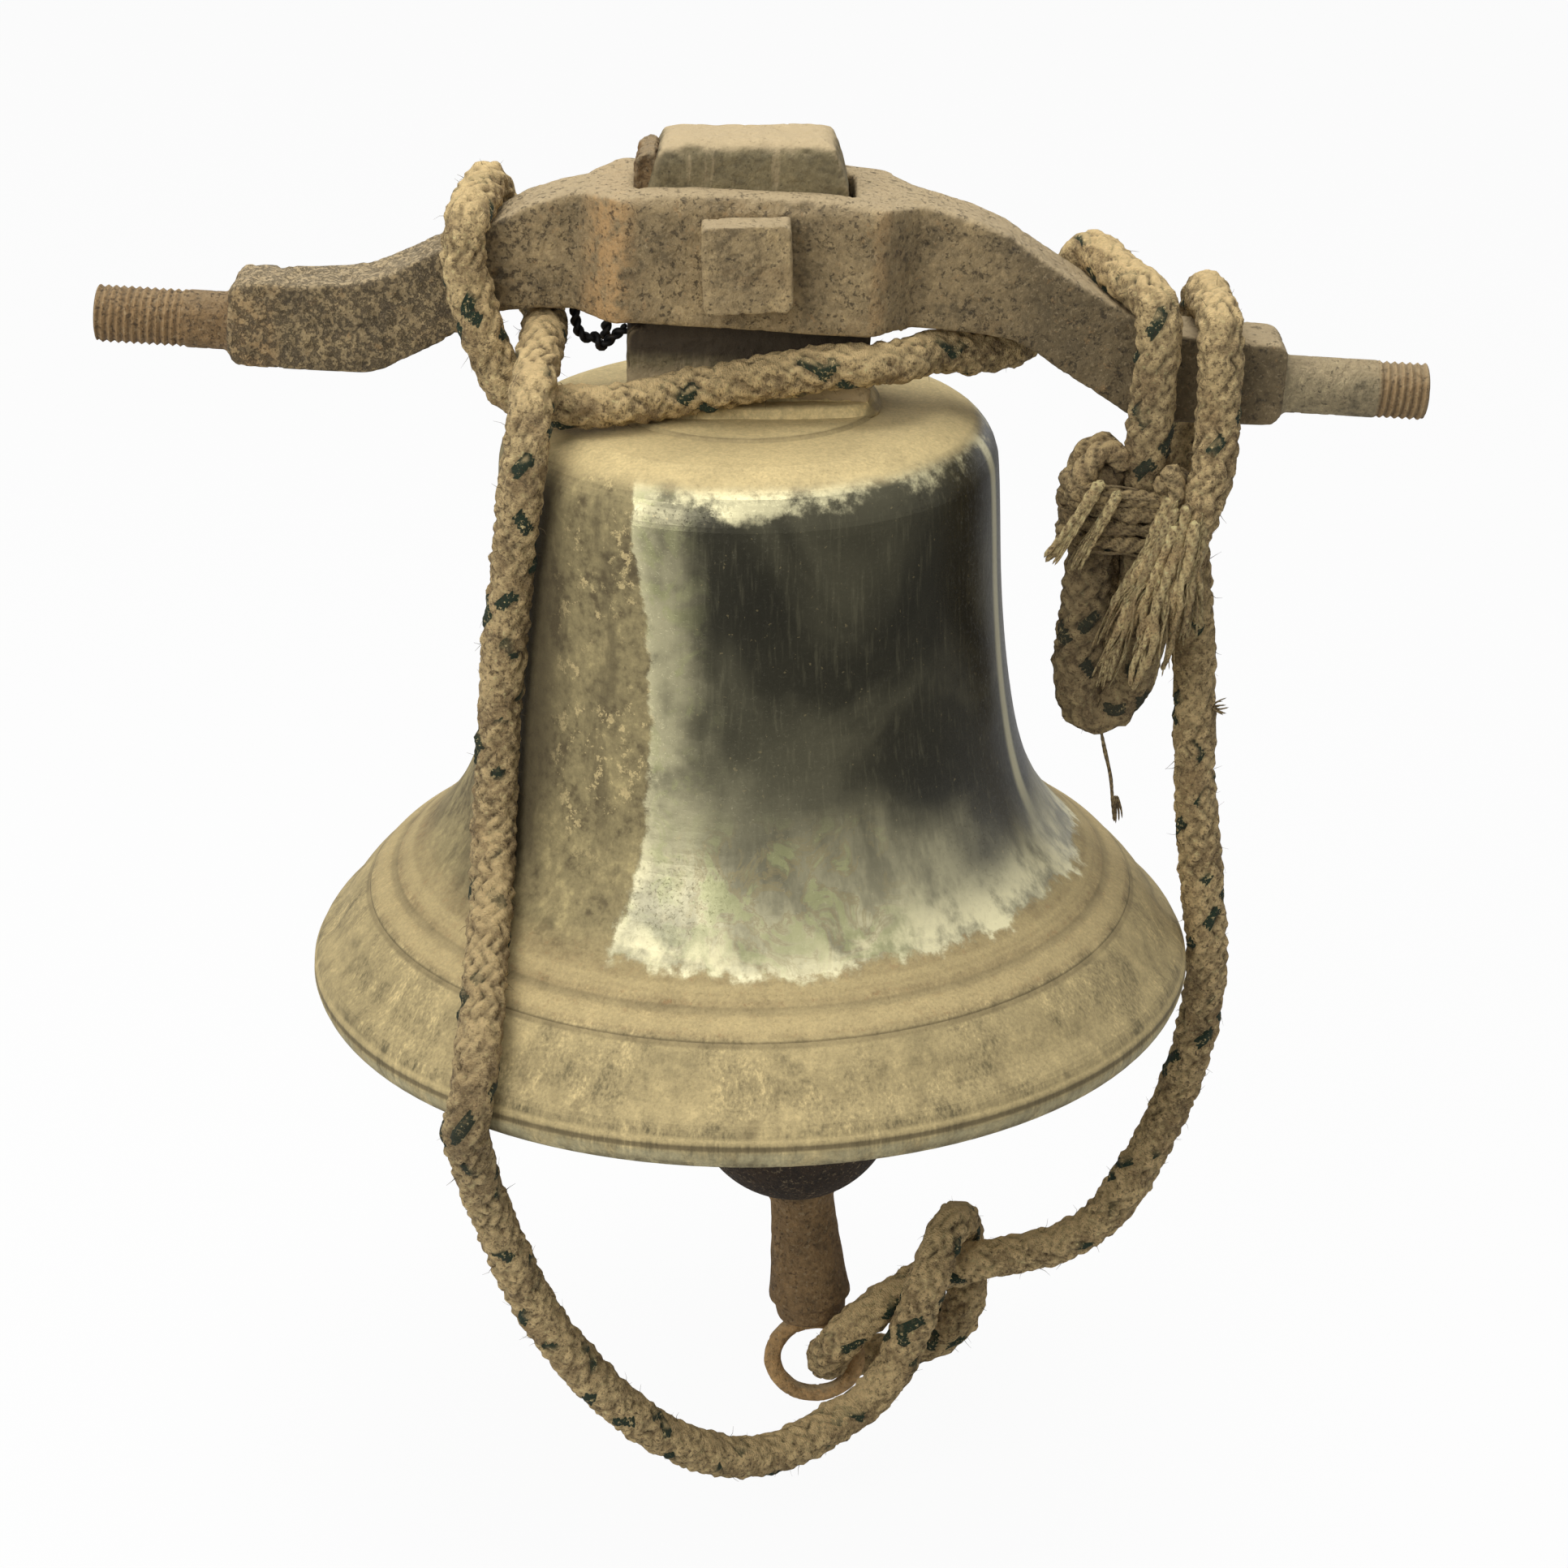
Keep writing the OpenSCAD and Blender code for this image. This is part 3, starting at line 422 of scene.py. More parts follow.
def closed(mesh):
    """Joins the seam and the ends of a wrapped mesh and turns its faces outwards"""
    bm = bmesh.new()
    bm.from_mesh(mesh)
    bmesh.ops.remove_doubles(bm, verts=bm.verts, dist=0.002 * MM)
    bmesh.ops.recalc_face_normals(bm, faces=bm.faces)
    bm.to_mesh(mesh)
    bm.free()
    mesh.polygons.foreach_set("use_smooth", [True] * len(mesh.polygons))
    return mesh


def linked(name, data):
    """A new object in the scene"""
    made = bpy.data.objects.new(name, data)
    bpy.context.scene.collection.objects.link(made)
    return made


def piece(name, meshes, material):
    """One object made of the meshes, with its material"""
    bm = bmesh.new()
    for mesh in meshes:
        bm.from_mesh(mesh)
        if mesh is not meshes[0]:
            bpy.data.meshes.remove(mesh)
    whole = meshes[0]
    bm.to_mesh(whole)
    bm.free()
    whole.materials.clear()
    whole.materials.append(material)
    made = linked(name, whole)
    return made


def braid(turn, run, strands, pick):
    """Height from 0 to 1 over a braid that goes over two and under two, and its tracers"""
    a = strands * turn / (2 * math.pi) + run / pick
    b = strands * turn / (2 * math.pi) - run / pick
    i, j = np.floor(a), np.floor(b)
    over = (i - j) % 4 < 2
    along = np.where(over, (b - i + 1) % 4, (a - j - 2) % 4) / 2
    across = np.where(over, a - i, b - j)
    crown = np.sqrt(np.clip(1 - (2 * across - 1) ** 2, 0, 1))
    height = crown * (0.5 + 0.5 * np.sin(math.pi * np.clip(along, 0, 1)))
    tracer = np.where(over, i % strands == 0, j % strands == strands // 2)
    return height, tracer


def laid(turn, run, strands, lead):
    """Height from 0 to 1 over a cord laid from round strands"""
    return np.abs(np.cos(strands / 2 * turn + strands * math.pi * run / lead))


def end_round(run, reach):
    """Share of the full thickness along a line whose ends are rounded off"""
    left = np.clip(run / reach, 0, 1)
    right = np.clip((run[-1] - run) / reach, 0, 1)
    return np.sqrt(1 - (1 - left) ** 2) * np.sqrt(1 - (1 - right) ** 2)


def taper(run, start, tip):
    """Share of the full thickness of a yarn that thins from its start to its tip"""
    along = run / run[-1]
    body = start + (tip - start) * along
    return body * end_round(run, min(1.5 * MM, run[-1] / 6))


def cord_mesh(name, points, thick, step, sides, strands, lead, rough, grime, tip=1.0):
    """A small laid cord or yarn through the points, lumpy and with rounded ends"""
    line = smooth_line(points, step)
    run = travelled(line)
    height = laid(turns(sides)[None, :], run[:, None], strands, lead)
    lumps = unevenness(line, 7 * MM, 3.1)[:, None]
    body = thick * taper(run, 1.0, tip)[:, None]
    radius = body * (0.78 + 0.22 * height + rough * lumps)
    grime = np.full((len(line), 1), grime)
    return tube_mesh(name, line, radius, sides, {"relief": height, "grime": grime})


def cast_copy(node, name, voxel, rounds, skin, cuts=()):
    """Copy of a CAD node with softened edges and a rough skin: skin(points, normals) is the
    height of the skin, in metres. cuts are planes, a place and a direction, that trim it."""
    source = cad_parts[node]
    bm = bmesh.new()
    bm.from_mesh(source.data)
    bm.transform(source.matrix_world)
    bmesh.ops.remove_doubles(bm, verts=bm.verts, dist=0.01 * MM)
    for place, outwards in cuts:
        everything = bm.verts[:] + bm.edges[:] + bm.faces[:]
        bmesh.ops.bisect_plane(bm, geom=everything, plane_co=place, plane_no=outwards,
                               clear_outer=True)
        rims = [e for e in bm.edges if e.is_boundary]
        bmesh.ops.holes_fill(bm, edges=rims, sides=0)
    mesh = mesh_of(bm, name)
    rough = linked(name, mesh)
    remesh = rough.modifiers.new("skin", "REMESH")
    remesh.mode = "VOXEL"
    remesh.voxel_size = voxel
    ready = rough.evaluated_get(bpy.context.evaluated_depsgraph_get())
    fine = bpy.data.meshes.new_from_object(ready)
    bpy.data.objects.remove(rough)
    bpy.data.meshes.remove(mesh)
    bm = bmesh.new()
    bm.from_mesh(fine)
    for _ in range(rounds):
        bmesh.ops.smooth_vert(bm, verts=bm.verts, factor=0.5, use_axis_x=True,
                              use_axis_y=True, use_axis_z=True)
    bmesh.ops.recalc_face_normals(bm, faces=bm.faces)
    bm.to_mesh(fine)
    bm.free()
    places, normals = rows_of(fine, "co"), rows_of(fine, "normal")
    places = places + normals * skin(places, normals)[:, None]
    fine.vertices.foreach_set("co", places.ravel())
    fine.polygons.foreach_set("use_smooth", [True] * len(fine.polygons))
    fine.materials.clear()
    fine.name = name
    return fine


def pits(points, size, least, shift):
    """Share from 0 to 1 of how deep each point lies in a scatter of round pits"""
    raw = unevenness(points, size, shift)
    return np.clip((raw - least) / (0.75 - least), 0, 1) ** 0.7


# Node trees


def math_method(operation, turned=False):
    """A method of Value that adds a Math node, where turned puts the Value second"""
    def method(self, other=0.0):
        return self.w.math(operation, *((other, self) if turned else (self, other)))
    return method


class Value:
    """A number in a node tree. Its sums, products and powers add the nodes they need"""
    __add__ = math_method("ADD")
    __sub__ = math_method("SUBTRACT")
    __rsub__ = math_method("SUBTRACT", True)
    __mul__ = math_method("MULTIPLY")
    __truediv__ = math_method("DIVIDE")
    __pow__ = math_method("POWER")
    __abs__ = math_method("ABSOLUTE")

    def __init__(self, w, socket):
        self.w = w
        self.socket = socket

    def fade(self, low, high):
        """0 below low and 1 above high, or the other way round if low is above high"""
        turned = not isinstance(low, Value) and low > high
        ends = (high, low) if turned else (low, high)
        made = self.w.value("MapRange", {"Value": self, "From Min": ends[0], "From Max": ends[1]},
                            interpolation_type="SMOOTHSTEP")
        return 1 - made if turned else made


class Wiring:
    """Short calls that add nodes to one node tree and join them"""

    def __init__(self, tree):
        self.tree = tree

    def plug(self, inlet, value):
        """Links a Value or a socket to the inlet, or writes a number, place or colour on it"""
        value = getattr(value, "socket", value)
        if isinstance(value, bpy.types.NodeSocket):
            self.tree.links.new(value, inlet)
        elif inlet.type == "RGBA":
            inlet.default_value = (*tuple(value)[:3], 1)
        else:
            inlet.default_value = value

    def put(self, kind, inputs=None, **settings):
        made = self.tree.nodes.new("ShaderNode" + kind)
        for key, value in settings.items():
            setattr(made, key, value)
        for key, value in (inputs or {}).items():
            self.plug(made.inputs[key], value)
        return made

    def value(self, kind, inputs=None, out=0, **settings):
        return Value(self, self.put(kind, inputs, **settings).outputs[out])

    def math(self, operation, a, b=0.0, clamp=False):
        return self.value("Math", {0: a, 1: b}, operation=operation, use_clamp=clamp)

    def mix(self, part, a, b):
        return self.put("Mix", {0: part, 6: a, 7: b}, data_type="RGBA").outputs[2]

    def noise(self, at, scale, detail, rough, bend=0.0):
        return self.value("TexNoise", {"Vector": at, "Scale": scale, "Detail": detail,
                                       "Roughness": rough, "Distortion": bend})

    def bumped(self, height, strength, distance):
        return self.put("Bump", {"Height": height, "Strength": strength,
                                 "Distance": distance}).outputs[0]

    def object_place(self):
        return self.put("TexCoord").outputs["Object"]

    def mapped(self, at, scale, turn=(0, 0, 0)):
        return self.put("Mapping", {"Vector": at, "Scale": scale, "Rotation": turn}).outputs[0]

    def parts(self, vector):
        return [Value(self, out) for out in self.put("SeparateXYZ", {0: vector}).outputs]

    def attribute(self, name):
        return self.value("Attribute", out="Fac", attribute_name=name)

    def pointiness(self):
        """Over a half on edges and under a half in corners"""
        return self.value("NewGeometry", out="Pointiness")

    def group(self, name, build, inputs):
        """The outputs of the shader group of that name, which build wires at its first use"""
        tree = bpy.data.node_groups.get(name) or new_group(name, build, inputs)
        made = self.put("Group", inputs, node_tree=tree)
        return {out.name: Value(self, out) for out in made.outputs}


class Coats:
    """A colour under the coats that are laid on it, each through its mask"""

    def __init__(self, w, colour):
        self.w = w
        self.colour = colour

    def lay(self, mask, colour):
        self.colour = self.w.mix(mask, self.colour, colour)


def socket_kind(value):
    """The kind of group socket that holds the value"""
    value = getattr(value, "socket", value)
    if isinstance(value, bpy.types.NodeSocket):
        kind = {"VALUE": "Float", "RGBA": "Color", "VECTOR": "Vector"}[value.type]
    else:
        kind = "Float" if isinstance(value, (int, float)) else "Color"
    return "NodeSocket" + kind


def new_group(name, build, inputs):
    """A shader group with inputs like the given ones. build gets its wiring and its inputs,
    and gives its outputs."""
    tree = bpy.data.node_groups.new(name, "ShaderNodeTree")
    for key, value in inputs.items():
        tree.interface.new_socket(key, in_out="INPUT", socket_type=socket_kind(value))
    w = Wiring(tree)
    given = tree.nodes.new("NodeGroupInput").outputs
    found = build(w, *[Value(w, given[key]) for key in inputs])
    for key, value in found.items():
        tree.interface.new_socket(key, in_out="OUTPUT", socket_type=socket_kind(value))
    end = tree.nodes.new("NodeGroupOutput").inputs
    for key, value in found.items():
        w.plug(end[key], value)
    return tree


def mottle(w, at, scale, dark, middle, light):
    """Three colours in cloudy patches"""
    def build(w, at, scale, dark, middle, light):
        clouds = w.noise(at, scale, 6, 0.62, 0.3) * 0.55 + w.noise(at, scale * 7, 4, 0.6) * 0.45
        low = w.mix(clouds.fade(0.36, 0.52), dark, middle)
        return {"Color": w.mix(clouds.fade(0.5, 0.68), low, light)}
    return w.group("Mottle", build, {"Vector": at, "Scale": scale, "Dark": dark,
                                     "Middle": middle, "Light": light})["Color"]


def settled_dust(w, at, start, full, scale):
    """Mask of the dust that has settled on the faces that look up"""
    def build(w, at, start, full, scale):
        up = w.parts(w.put("NewGeometry").outputs["Normal"])[2]
        patchy = w.noise(at, scale, 6, 0.65) - 0.5
        return {"Mask": (up + patchy * 0.9).fade(start, full)}
    return w.group("Settled dust", build, {"Vector": at, "From": start, "To": full,
                                           "Scale": scale})["Mask"]


def rough_skin(w, at, scale, pitting):
    """Grain and small pits of old iron, as a height and a mask of the pits"""
    def build(w, at, scale, pitting):
        spots = w.noise(at, scale * 2.1, 5, 0.75)
        least = 0.63 - pitting * 0.2
        hole = spots.fade(least, least + 0.13)
        return {"Height": w.noise(at, scale, 6, 0.7) - hole * 0.8, "Pits": hole}
    return w.group("Rough skin", build, {"Vector": at, "Scale": scale, "Pitting": pitting})


def new_material(name):
    """An empty material and its wiring"""
    material = bpy.data.materials.new(name)
    material.use_nodes = True
    material.node_tree.nodes.clear()
    return material, Wiring(material.node_tree)


def finish_material(w, colour_out, rough, normal, metal=0.0):
    """The shader itself, with its colour, roughness and bumps"""
    shader = w.put("BsdfPrincipled", {"Base Color": colour_out, "Roughness": rough,
                                      "Metallic": metal, "Normal": normal})
    w.put("OutputMaterial", {"Surface": shader.outputs[0]})


def darker(rgb, factor):
    """The colour times a factor, which may be over 1, and at most white"""
    return tuple(min(c * factor, 1) for c in rgb)


def ring(high, at, half):
    """1 on the ring of the bell at that height in mm, fading out at half its width"""
    return abs(high - at).fade(half, 0.35 * half)


def blotch(angle, high, at_angle, at_high, wide, tall):
    """1 in the middle of a soft patch on the bell's side, at an angle and a height"""
    across = (angle - at_angle) / wide
    up = (high - at_high) / tall
    return ((across * across + up * up) ** 0.5).fade(1, 0.1)


def bronze_material(s):
    """Dusty patina, with a polished patch on the front that has a pale ragged border. The patch's dark
    colour is a painted reflection; painted highlights, painted shade in the grooves and under the yoke,
    and the rope's painted shadow lie on the bell too.
    """
    material, w = new_material("weathered bronze")
    at = w.put("Mapping", {"Vector": w.object_place(), "Location": MOUTH_CENTRE,
                           "Rotation": (0, BELL_LEAN, 0)}, vector_type="TEXTURE").outputs[0]
    x, y, z = w.parts(at)
    angle = w.math("DEGREES", w.math("ARCTAN2", x, y * -1))
    high = z * 1000
    broad = w.noise(at, 22, 3, 0.5) - 0.5
    ragged = w.noise(at, 110, 6, 0.7) - 0.5
    fine = w.noise(at, 900, 3, 0.6)
    drawn = w.mapped(at, (90, 90, 9))
    streaks = w.noise(drawn, 1, 4, 0.6)
    scratches = w.noise(w.mapped(at, (700, 700, 60), (0.3, 0.5, 0)), 1, 3, 0.6)

    # Outline of the polished patch: its left edge bows, its lower edge is ragged
    bow = abs((high - 112) / 86) ** 2
    from_left = angle - PATCH_LEFT + bow * 6.3 + (ragged * 6 + broad * 3)
    over_low = high + (ragged * 12 + broad * 5) + (streaks - 0.5) * 10
    inside = (from_left.fade(0, 1.4) * angle.fade(PATCH_RIGHT + 6, PATCH_RIGHT - 6)
              * over_low.fade(PATCH_LOW, PATCH_LOW + 3)
              * (high + ragged * 7).fade(PATCH_TOP + 2, PATCH_TOP - 2))

    # Side, with a painted shadow of the rope on its left
    side = Coats(w, mottle(w, at, 40, s.brown, s.tan, darker(s.tan, 1.7)))
    worn = w.noise(w.mapped(at, (60, 60, 12)), 1, 5, 0.65)
    side.lay(worn.fade(0.5, 0.36) * 0.6, darker(s.brown, 0.8))
    cream = (w.noise(at, 170, 5, 0.78).fade(0.56, 0.61) * angle.fade(-54, -40)
             * angle.fade(-14, -20) * high.fade(66, 90) * w.noise(at, 45, 2, 0.5).fade(0.4, 0.56))
    side.lay(cream * 0.8, darker(s.dust, 1.2))
    # Painted shadow of the left rope on the bell's side
    painted_rope_shadow = (angle.fade(-70, -57) * angle.fade(-38, -52) * high.fade(48, 66)
             * high.fade(200, 186))
    side.lay(painted_rope_shadow * 0.85, darker(s.brown, 0.6))

    # Brim, its grooves and its lip, with painted highlights on the ridges and painted shade in the
    # grooves
    brim = mottle(w, drawn, 1.6, darker(s.tan, 0.5), darker(s.dust, 0.74), darker(s.dust, 1.45))
    cloudy = mottle(w, at, 26, darker(s.tan, 0.6), darker(s.dust, 0.78), darker(s.dust, 1.4))
    brim = w.mix(w.noise(at, 30, 5, 0.6).fade(0.45, 0.6), brim, cloudy)
    base = Coats(w, w.mix(high.fade(50, 41), side.colour, brim))
    specks = w.noise(at, 330, 5, 0.75).fade(0.55, 0.66)
    base.lay(high.fade(35, 38) * high.fade(58, 47) * (specks * 0.6 + 0.2), s.rust)
    # Painted highlight on each ridge and painted shade in the groove under it
    for ridge, groove in BRIM_HIGHLIGHTS_AND_SHADES:
        base.lay(ring(high, ridge, 2.4) * 0.45, darker(s.dust, 1.15))
        base.lay(ring(high, groove, 1.3) * 0.75, darker(s.brown, 1.1))
    base.lay(high.fade(8, 5.5) * streaks.fade(0.3, 0.6) * 0.6, darker(s.bright, 0.8))
    base.lay(streaks.fade(0.54, 0.7) * high.fade(36, 20) * 0.55, s.brown)
    # Painted highlight on the lip's ridge and painted shade in its groove
    ridge, groove = LIP_HIGHLIGHT_AND_SHADE
    base.lay(ring(high, ridge, 1.6) * 0.5, darker(s.dust, 1.1))
    base.lay(ring(high, groove, 1.3) * 0.7, s.brown)
    grime = high.fade(5, 1) * w.noise(at, 120, 5, 0.7).fade(0.42, 0.56)
    base.lay(grime * 0.6, darker(s.brown, 0.5))
    base.lay(scratches.fade(0.63, 0.72) * high.fade(34, 28) * 0.35, darker(s.dust, 1.15))

    # Polished patch, dark above and paler below: this colour is a painted reflection of dark
    # surroundings on the polished metal
    clouds = w.noise(at, 17, 4, 0.6, 0.6)
    patch = Coats(w, w.mix(clouds.fade(0.42, 0.66), darker(s.polished, 0.95),
                           darker(s.polished, 2.6)))
    for *spot, part, tone in PATCH_SPOTS:
        patch.lay(blotch(angle, high, *spot) * part, darker(s.polished, tone))
    pale = w.mix(streaks.fade(0.35, 0.65), darker(s.bright, 0.38), darker(s.bright, 0.8))
    patch.lay((high + (broad * 60 + angle * 0.28)).fade(108, 62), pale)
    blooms = w.noise(at, 62, 5, 0.65, 1.2)
    near_low = high.fade(100, 78) * angle.fade(36, 20)
    patch.lay(blooms.fade(0.5, 0.58) * near_low * 0.6, s.verdigris)
    outline = blooms.fade(0.46, 0.5) * blooms.fade(0.54, 0.5) * near_low
    patch.lay(outline * 0.6, darker(s.tan, 0.9))

    # Pale border of the patch: left strip and edge, lower hem, reflected line, top, then specks. The
    # strip and the hem are pale metal that is partly a painted highlight, the edge and the top are
    # painted highlights, and the line is a painted reflection.
    # Left strip: pale metal with verdigris, partly a painted highlight
    strip = (from_left + (streaks - 0.5) * 14).fade(18, 2)
    hue = w.mix(w.noise(at, 70, 3, 0.5).fade(0.36, 0.64), darker(s.bright, 0.36),
                darker(s.bright, 0.75))
    patch.lay(strip * 0.92, hue)
    patch.lay(strip * w.noise(at, 75, 5, 0.7, 0.8).fade(0.5, 0.6) * 0.5, s.verdigris)
    # Painted highlight along the left edge of the patch
    patch.lay(from_left.fade(5, 0.6) * ragged.fade(-0.14, 0.04) * 0.7, s.bright)
    # Lower hem: pale metal, partly a painted highlight
    hem = over_low.fade(PATCH_LOW + 21, PATCH_LOW + 4)
    hem = hem * (ragged + broad + (streaks - 0.5)).fade(-0.2, 0.24)
    olive = blotch(angle, high, *OLIVE_SPOT)
    patch.lay(hem * (1 - olive * 0.85) * 0.9, darker(s.bright, 1.4))
    # Painted reflection: a bright line down the right of the patch
    at_angle, half, low = REFLECTED_LINE
    patch.lay(abs(angle - at_angle).fade(half, 1) * high.fade(low, low + 24) * 0.85, s.bright)
    # Painted highlight along the top of the patch, at the shoulder
    rising = high + (broad * 26 + ragged * 14)
    top = rising.fade(PATCH_TOP - 8, PATCH_TOP - 3.5) * (ragged + broad).fade(-0.14, 0.1)
    patch.lay(top * 0.85, s.bright)
    patch.lay(w.noise(at, 620, 2, 0.5).fade(0.7, 0.74) * 0.2, s.dust)
    patch.lay(scratches.fade(0.5, 0.8) * 0.07, s.bright)
    base.lay(inside, patch.colour)

    # Crown and neck, then dust over all, then shine and grain
    radius = (x * x + y * y) ** 0.5
    on_crown = high.fade(198, 204)
    crown = Coats(w, mottle(w, at, 48, darker(s.dust, 0.8), darker(s.dust, 1.25),
                            darker(s.dust, 1.65)))
    crown.lay(abs(radius - CROWN_RING).fade(1.6 * MM, 0.4 * MM) * 0.65, s.brown)
    base.lay(on_crown, crown.colour)
    neck = mottle(w, at, 60, darker(s.brown, 0.8), darker(s.brown, 1.3), darker(s.tan, 0.9))
    base.lay(high.fade(211, 216) * radius.fade(NECK_REACH, NECK_REACH - 2 * MM), neck)
    # Painted shade on the neck under the yoke
    under = high.fade(216, 222) * high.fade(252, 238)
    base.lay(under * 0.8, darker(s.brown, 0.3))
    free = 1 - inside
    settled = settled_dust(w, at, 0.35, 1.1, 60) * free * (1 - under)
    base.lay(settled * 0.7, darker(s.dust, 1.1))
    base.lay(fine.fade(0.6, 0.4) * free * 0.17, s.brown)
    base.lay(specks * on_crown * 0.3, s.tan)

    shiny = inside * high.fade(203, 198)
    rough = 0.78 - shiny * 0.43 + (fine - 0.5) * 0.25
    metal = shiny * high.fade(40, 120) * 0.62 + 0.1
    grain = rough_skin(w, at, 420, 0.35)["Height"] * (1 - inside * 0.8)
    grain = grain + w.noise(at, 70, 4, 0.5) * 0.8
    finish_material(w, base.colour, rough, w.bumped(grain, 0.45, 0.9 * MM), metal)
    return material


def iron_material(name, s, iron, rusty, dusty, pitting, scale=240, of_yoke=False):
    """Old iron: mottled skin, rust, dark pits and dust on the upper faces"""
    material, w = new_material(name)
    at = w.object_place()
    x = w.parts(at)[0]
    if of_yoke:
        pitting = x.fade(-0.065, -0.1) * 0.45 + pitting
    skin = rough_skin(w, at, scale, pitting)
    base = Coats(w, mottle(w, at, 60, darker(iron, 0.5), iron, darker(iron, 1.6)))
    stain = w.noise(at, 42, 6, 0.7, 0.5).fade(0.62 - 0.3 * rusty, 0.8 - 0.25 * rusty)
    base.lay(stain * (0.3 + 0.6 * rusty), darker(s.rust, 0.7))
    if of_yoke:
        # Rusty edges, the dark right arm and flakes of rust
        for at_x, half, part in RUSTY_EDGES:
            edge = abs(x - at_x).fade(half, 0.2 * half)
            edge = edge * w.noise(at, 110, 6, 0.75).fade(0.36, 0.56)
            base.lay(edge * part, darker(s.rust, 1.35))
        base.lay(x.fade(0.062, 0.1) * 0.65, darker(iron, 0.35))
        base.lay(w.noise(at, 260, 5, 0.75).fade(0.59, 0.66) * 0.5, s.rust)
    # Rust in the threads, and their roots darker
    base.lay(w.attribute("grime") * 0.75, darker(s.rust, 1.2))
    base.lay(w.attribute("tracer") * 0.7, s.pit_and_shade)
    base.lay(skin["Pits"] * 0.42, s.pit_and_shade)
    base.lay(w.noise(at, 620, 4, 0.75).fade(0.54, 0.66) * 0.4, s.dust)
    base.lay(settled_dust(w, at, 0.3, 0.95, 120) * dusty, s.dust)
    # Paler on sharp edges, darker in hollow corners
    point = w.pointiness()
    base.lay(point.fade(0.52, 0.6) * 0.4, darker(s.dust, 0.9))
    base.lay(point.fade(0.49, 0.42) * 0.6, s.pit_and_shade)
    rough = skin["Height"] * 0.2 + 0.75
    relief = skin["Height"] + w.noise(at, scale * 0.55, 3, 0.6) * 1.2
    finish_material(w, base.colour, rough, w.bumped(relief, 1, 2.2 * MM), 0.05)
    return material


def tang_material(s):
    """Dull olive skin of the tang, with painted shade under the yoke, and dusty at its foot and on top
    """
    material, w = new_material("tang skin")
    at = w.object_place()
    z = w.parts(at)[2]
    base = Coats(w, mottle(w, at, 70, darker(s.tang, 0.6), s.tang, darker(s.tang, 1.5)))
    drips = w.noise(w.mapped(at, (160, 160, 22)), 1, 4, 0.6)
    base.lay(drips.fade(0.56, 0.66) * 0.4, s.dust)
    # Painted shade on the tang under the yoke
    under = z.fade(0.034, 0.022) * z.fade(-0.002, 0.004)
    base.lay(under * 0.92, darker(s.pit_and_shade, 0.6))
    foot = (z + w.noise(at, 90, 5, 0.6) * 0.012).fade(0.006, -0.002)
    base.lay(foot * 0.9, darker(s.dust, 1.1))
    base.lay(w.noise(at, 330, 5, 0.7).fade(0.55, 0.66) * 0.35, s.pit_and_shade)
    settled = settled_dust(w, at, 0.3, 0.9, 90) * (1 - under)
    base.lay(settled * 0.78, darker(s.dust, 1.15))
    base.lay(w.pointiness().fade(0.52, 0.58) * 0.5, darker(s.dust, 1.3))
    relief = rough_skin(w, at, 260, 0.05)["Height"] + w.noise(at, 140, 3, 0.6)
    finish_material(w, base.colour, 0.8, w.bumped(relief, 0.8, 1.6 * MM), 0.05)
    return material


def rope_material(name, s, yarn, mud, green, grime_more):
    """Muddy cord: crumbs of mud on the strands, dirt between them and green flecks, with painted
    highlights on the strand tops and crumbs and painted shade in the gaps
    """
    material, w = new_material(name)
    at = w.object_place()
    relief, tracer, grime = [w.attribute(key) for key in ("relief", "tracer", "grime")]
    along = w.mapped(w.put("TexCoord").outputs["UV"], (2600, 26, 1), (0, 0, 0.35))
    threads = w.noise(along, 1, 2, 0.5)
    crumbs = w.noise(at, 620, 5, 0.72)
    mudded = (w.noise(at, 95, 5, 0.62) + crumbs * 0.25).fade(0.48, 0.68)
    base = Coats(w, mottle(w, at, 200, darker(yarn, 0.5), yarn, darker(yarn, 1.7)))
    # Mud paler on the strand tops, partly a painted highlight
    caked = w.mix(relief.fade(0.3, 0.95), darker(mud, 0.55), darker(mud, 1.15))
    base.lay(mudded * crumbs.fade(0.34, 0.56), caked)
    flecks = tracer.fade(0.3, 0.6) * w.noise(at, 38, 2, 0.5).fade(0.44, 0.5) * green
    base.lay(flecks * crumbs.fade(0.66, 0.54), s.tracer)
    # Dark crevices between the crumbs: dirt and painted shade
    base.lay(crumbs.fade(0.48, 0.36) * 0.55, s.gap)
    # Paler tops of the crumbs: mud and a painted highlight
    base.lay(crumbs.fade(0.58, 0.7) * 0.7, darker(mud, 1.6))
    # Dirt and painted shade in the gaps between the strands
    base.lay(relief.fade(0.5, 0.06) * 0.72, s.gap)
    # Grime, and painted shade on the left fall, darken the rope
    soil_and_shade = w.math("ADD", grime, grime_more, True) * (crumbs * 0.5 + 0.6)
    base.lay(soil_and_shade * 0.85, s.gap)
    kept = relief.fade(0.2, 0.8) * soil_and_shade.fade(0.7, 0.2)
    base.lay(settled_dust(w, at, 0.3, 1, 160) * kept * 0.75, darker(mud, 1.25))
    height = crumbs + threads * 0.5 + w.noise(at, 230, 3, 0.6) * 0.8
    finish_material(w, base.colour, 0.95, w.bumped(height, 1, 2.1 * MM))
    return material


def wire_material(s):
    """Blackened wire"""
    material, w = new_material("black wire")
    at = w.object_place()
    base = mottle(w, at, 300, darker(s.wire, 0.6), s.wire, darker(s.rust, 0.16))
    skin = rough_skin(w, at, 900, 0.3)
    finish_material(w, base, 0.6, w.bumped(skin["Height"], 0.4, 0.3 * MM), 0.3)
    return material


# Pieces


def swings_with_rope(made):
    """Bakes the piece's place into its mesh, and leaves it without a body"""
    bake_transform(made)


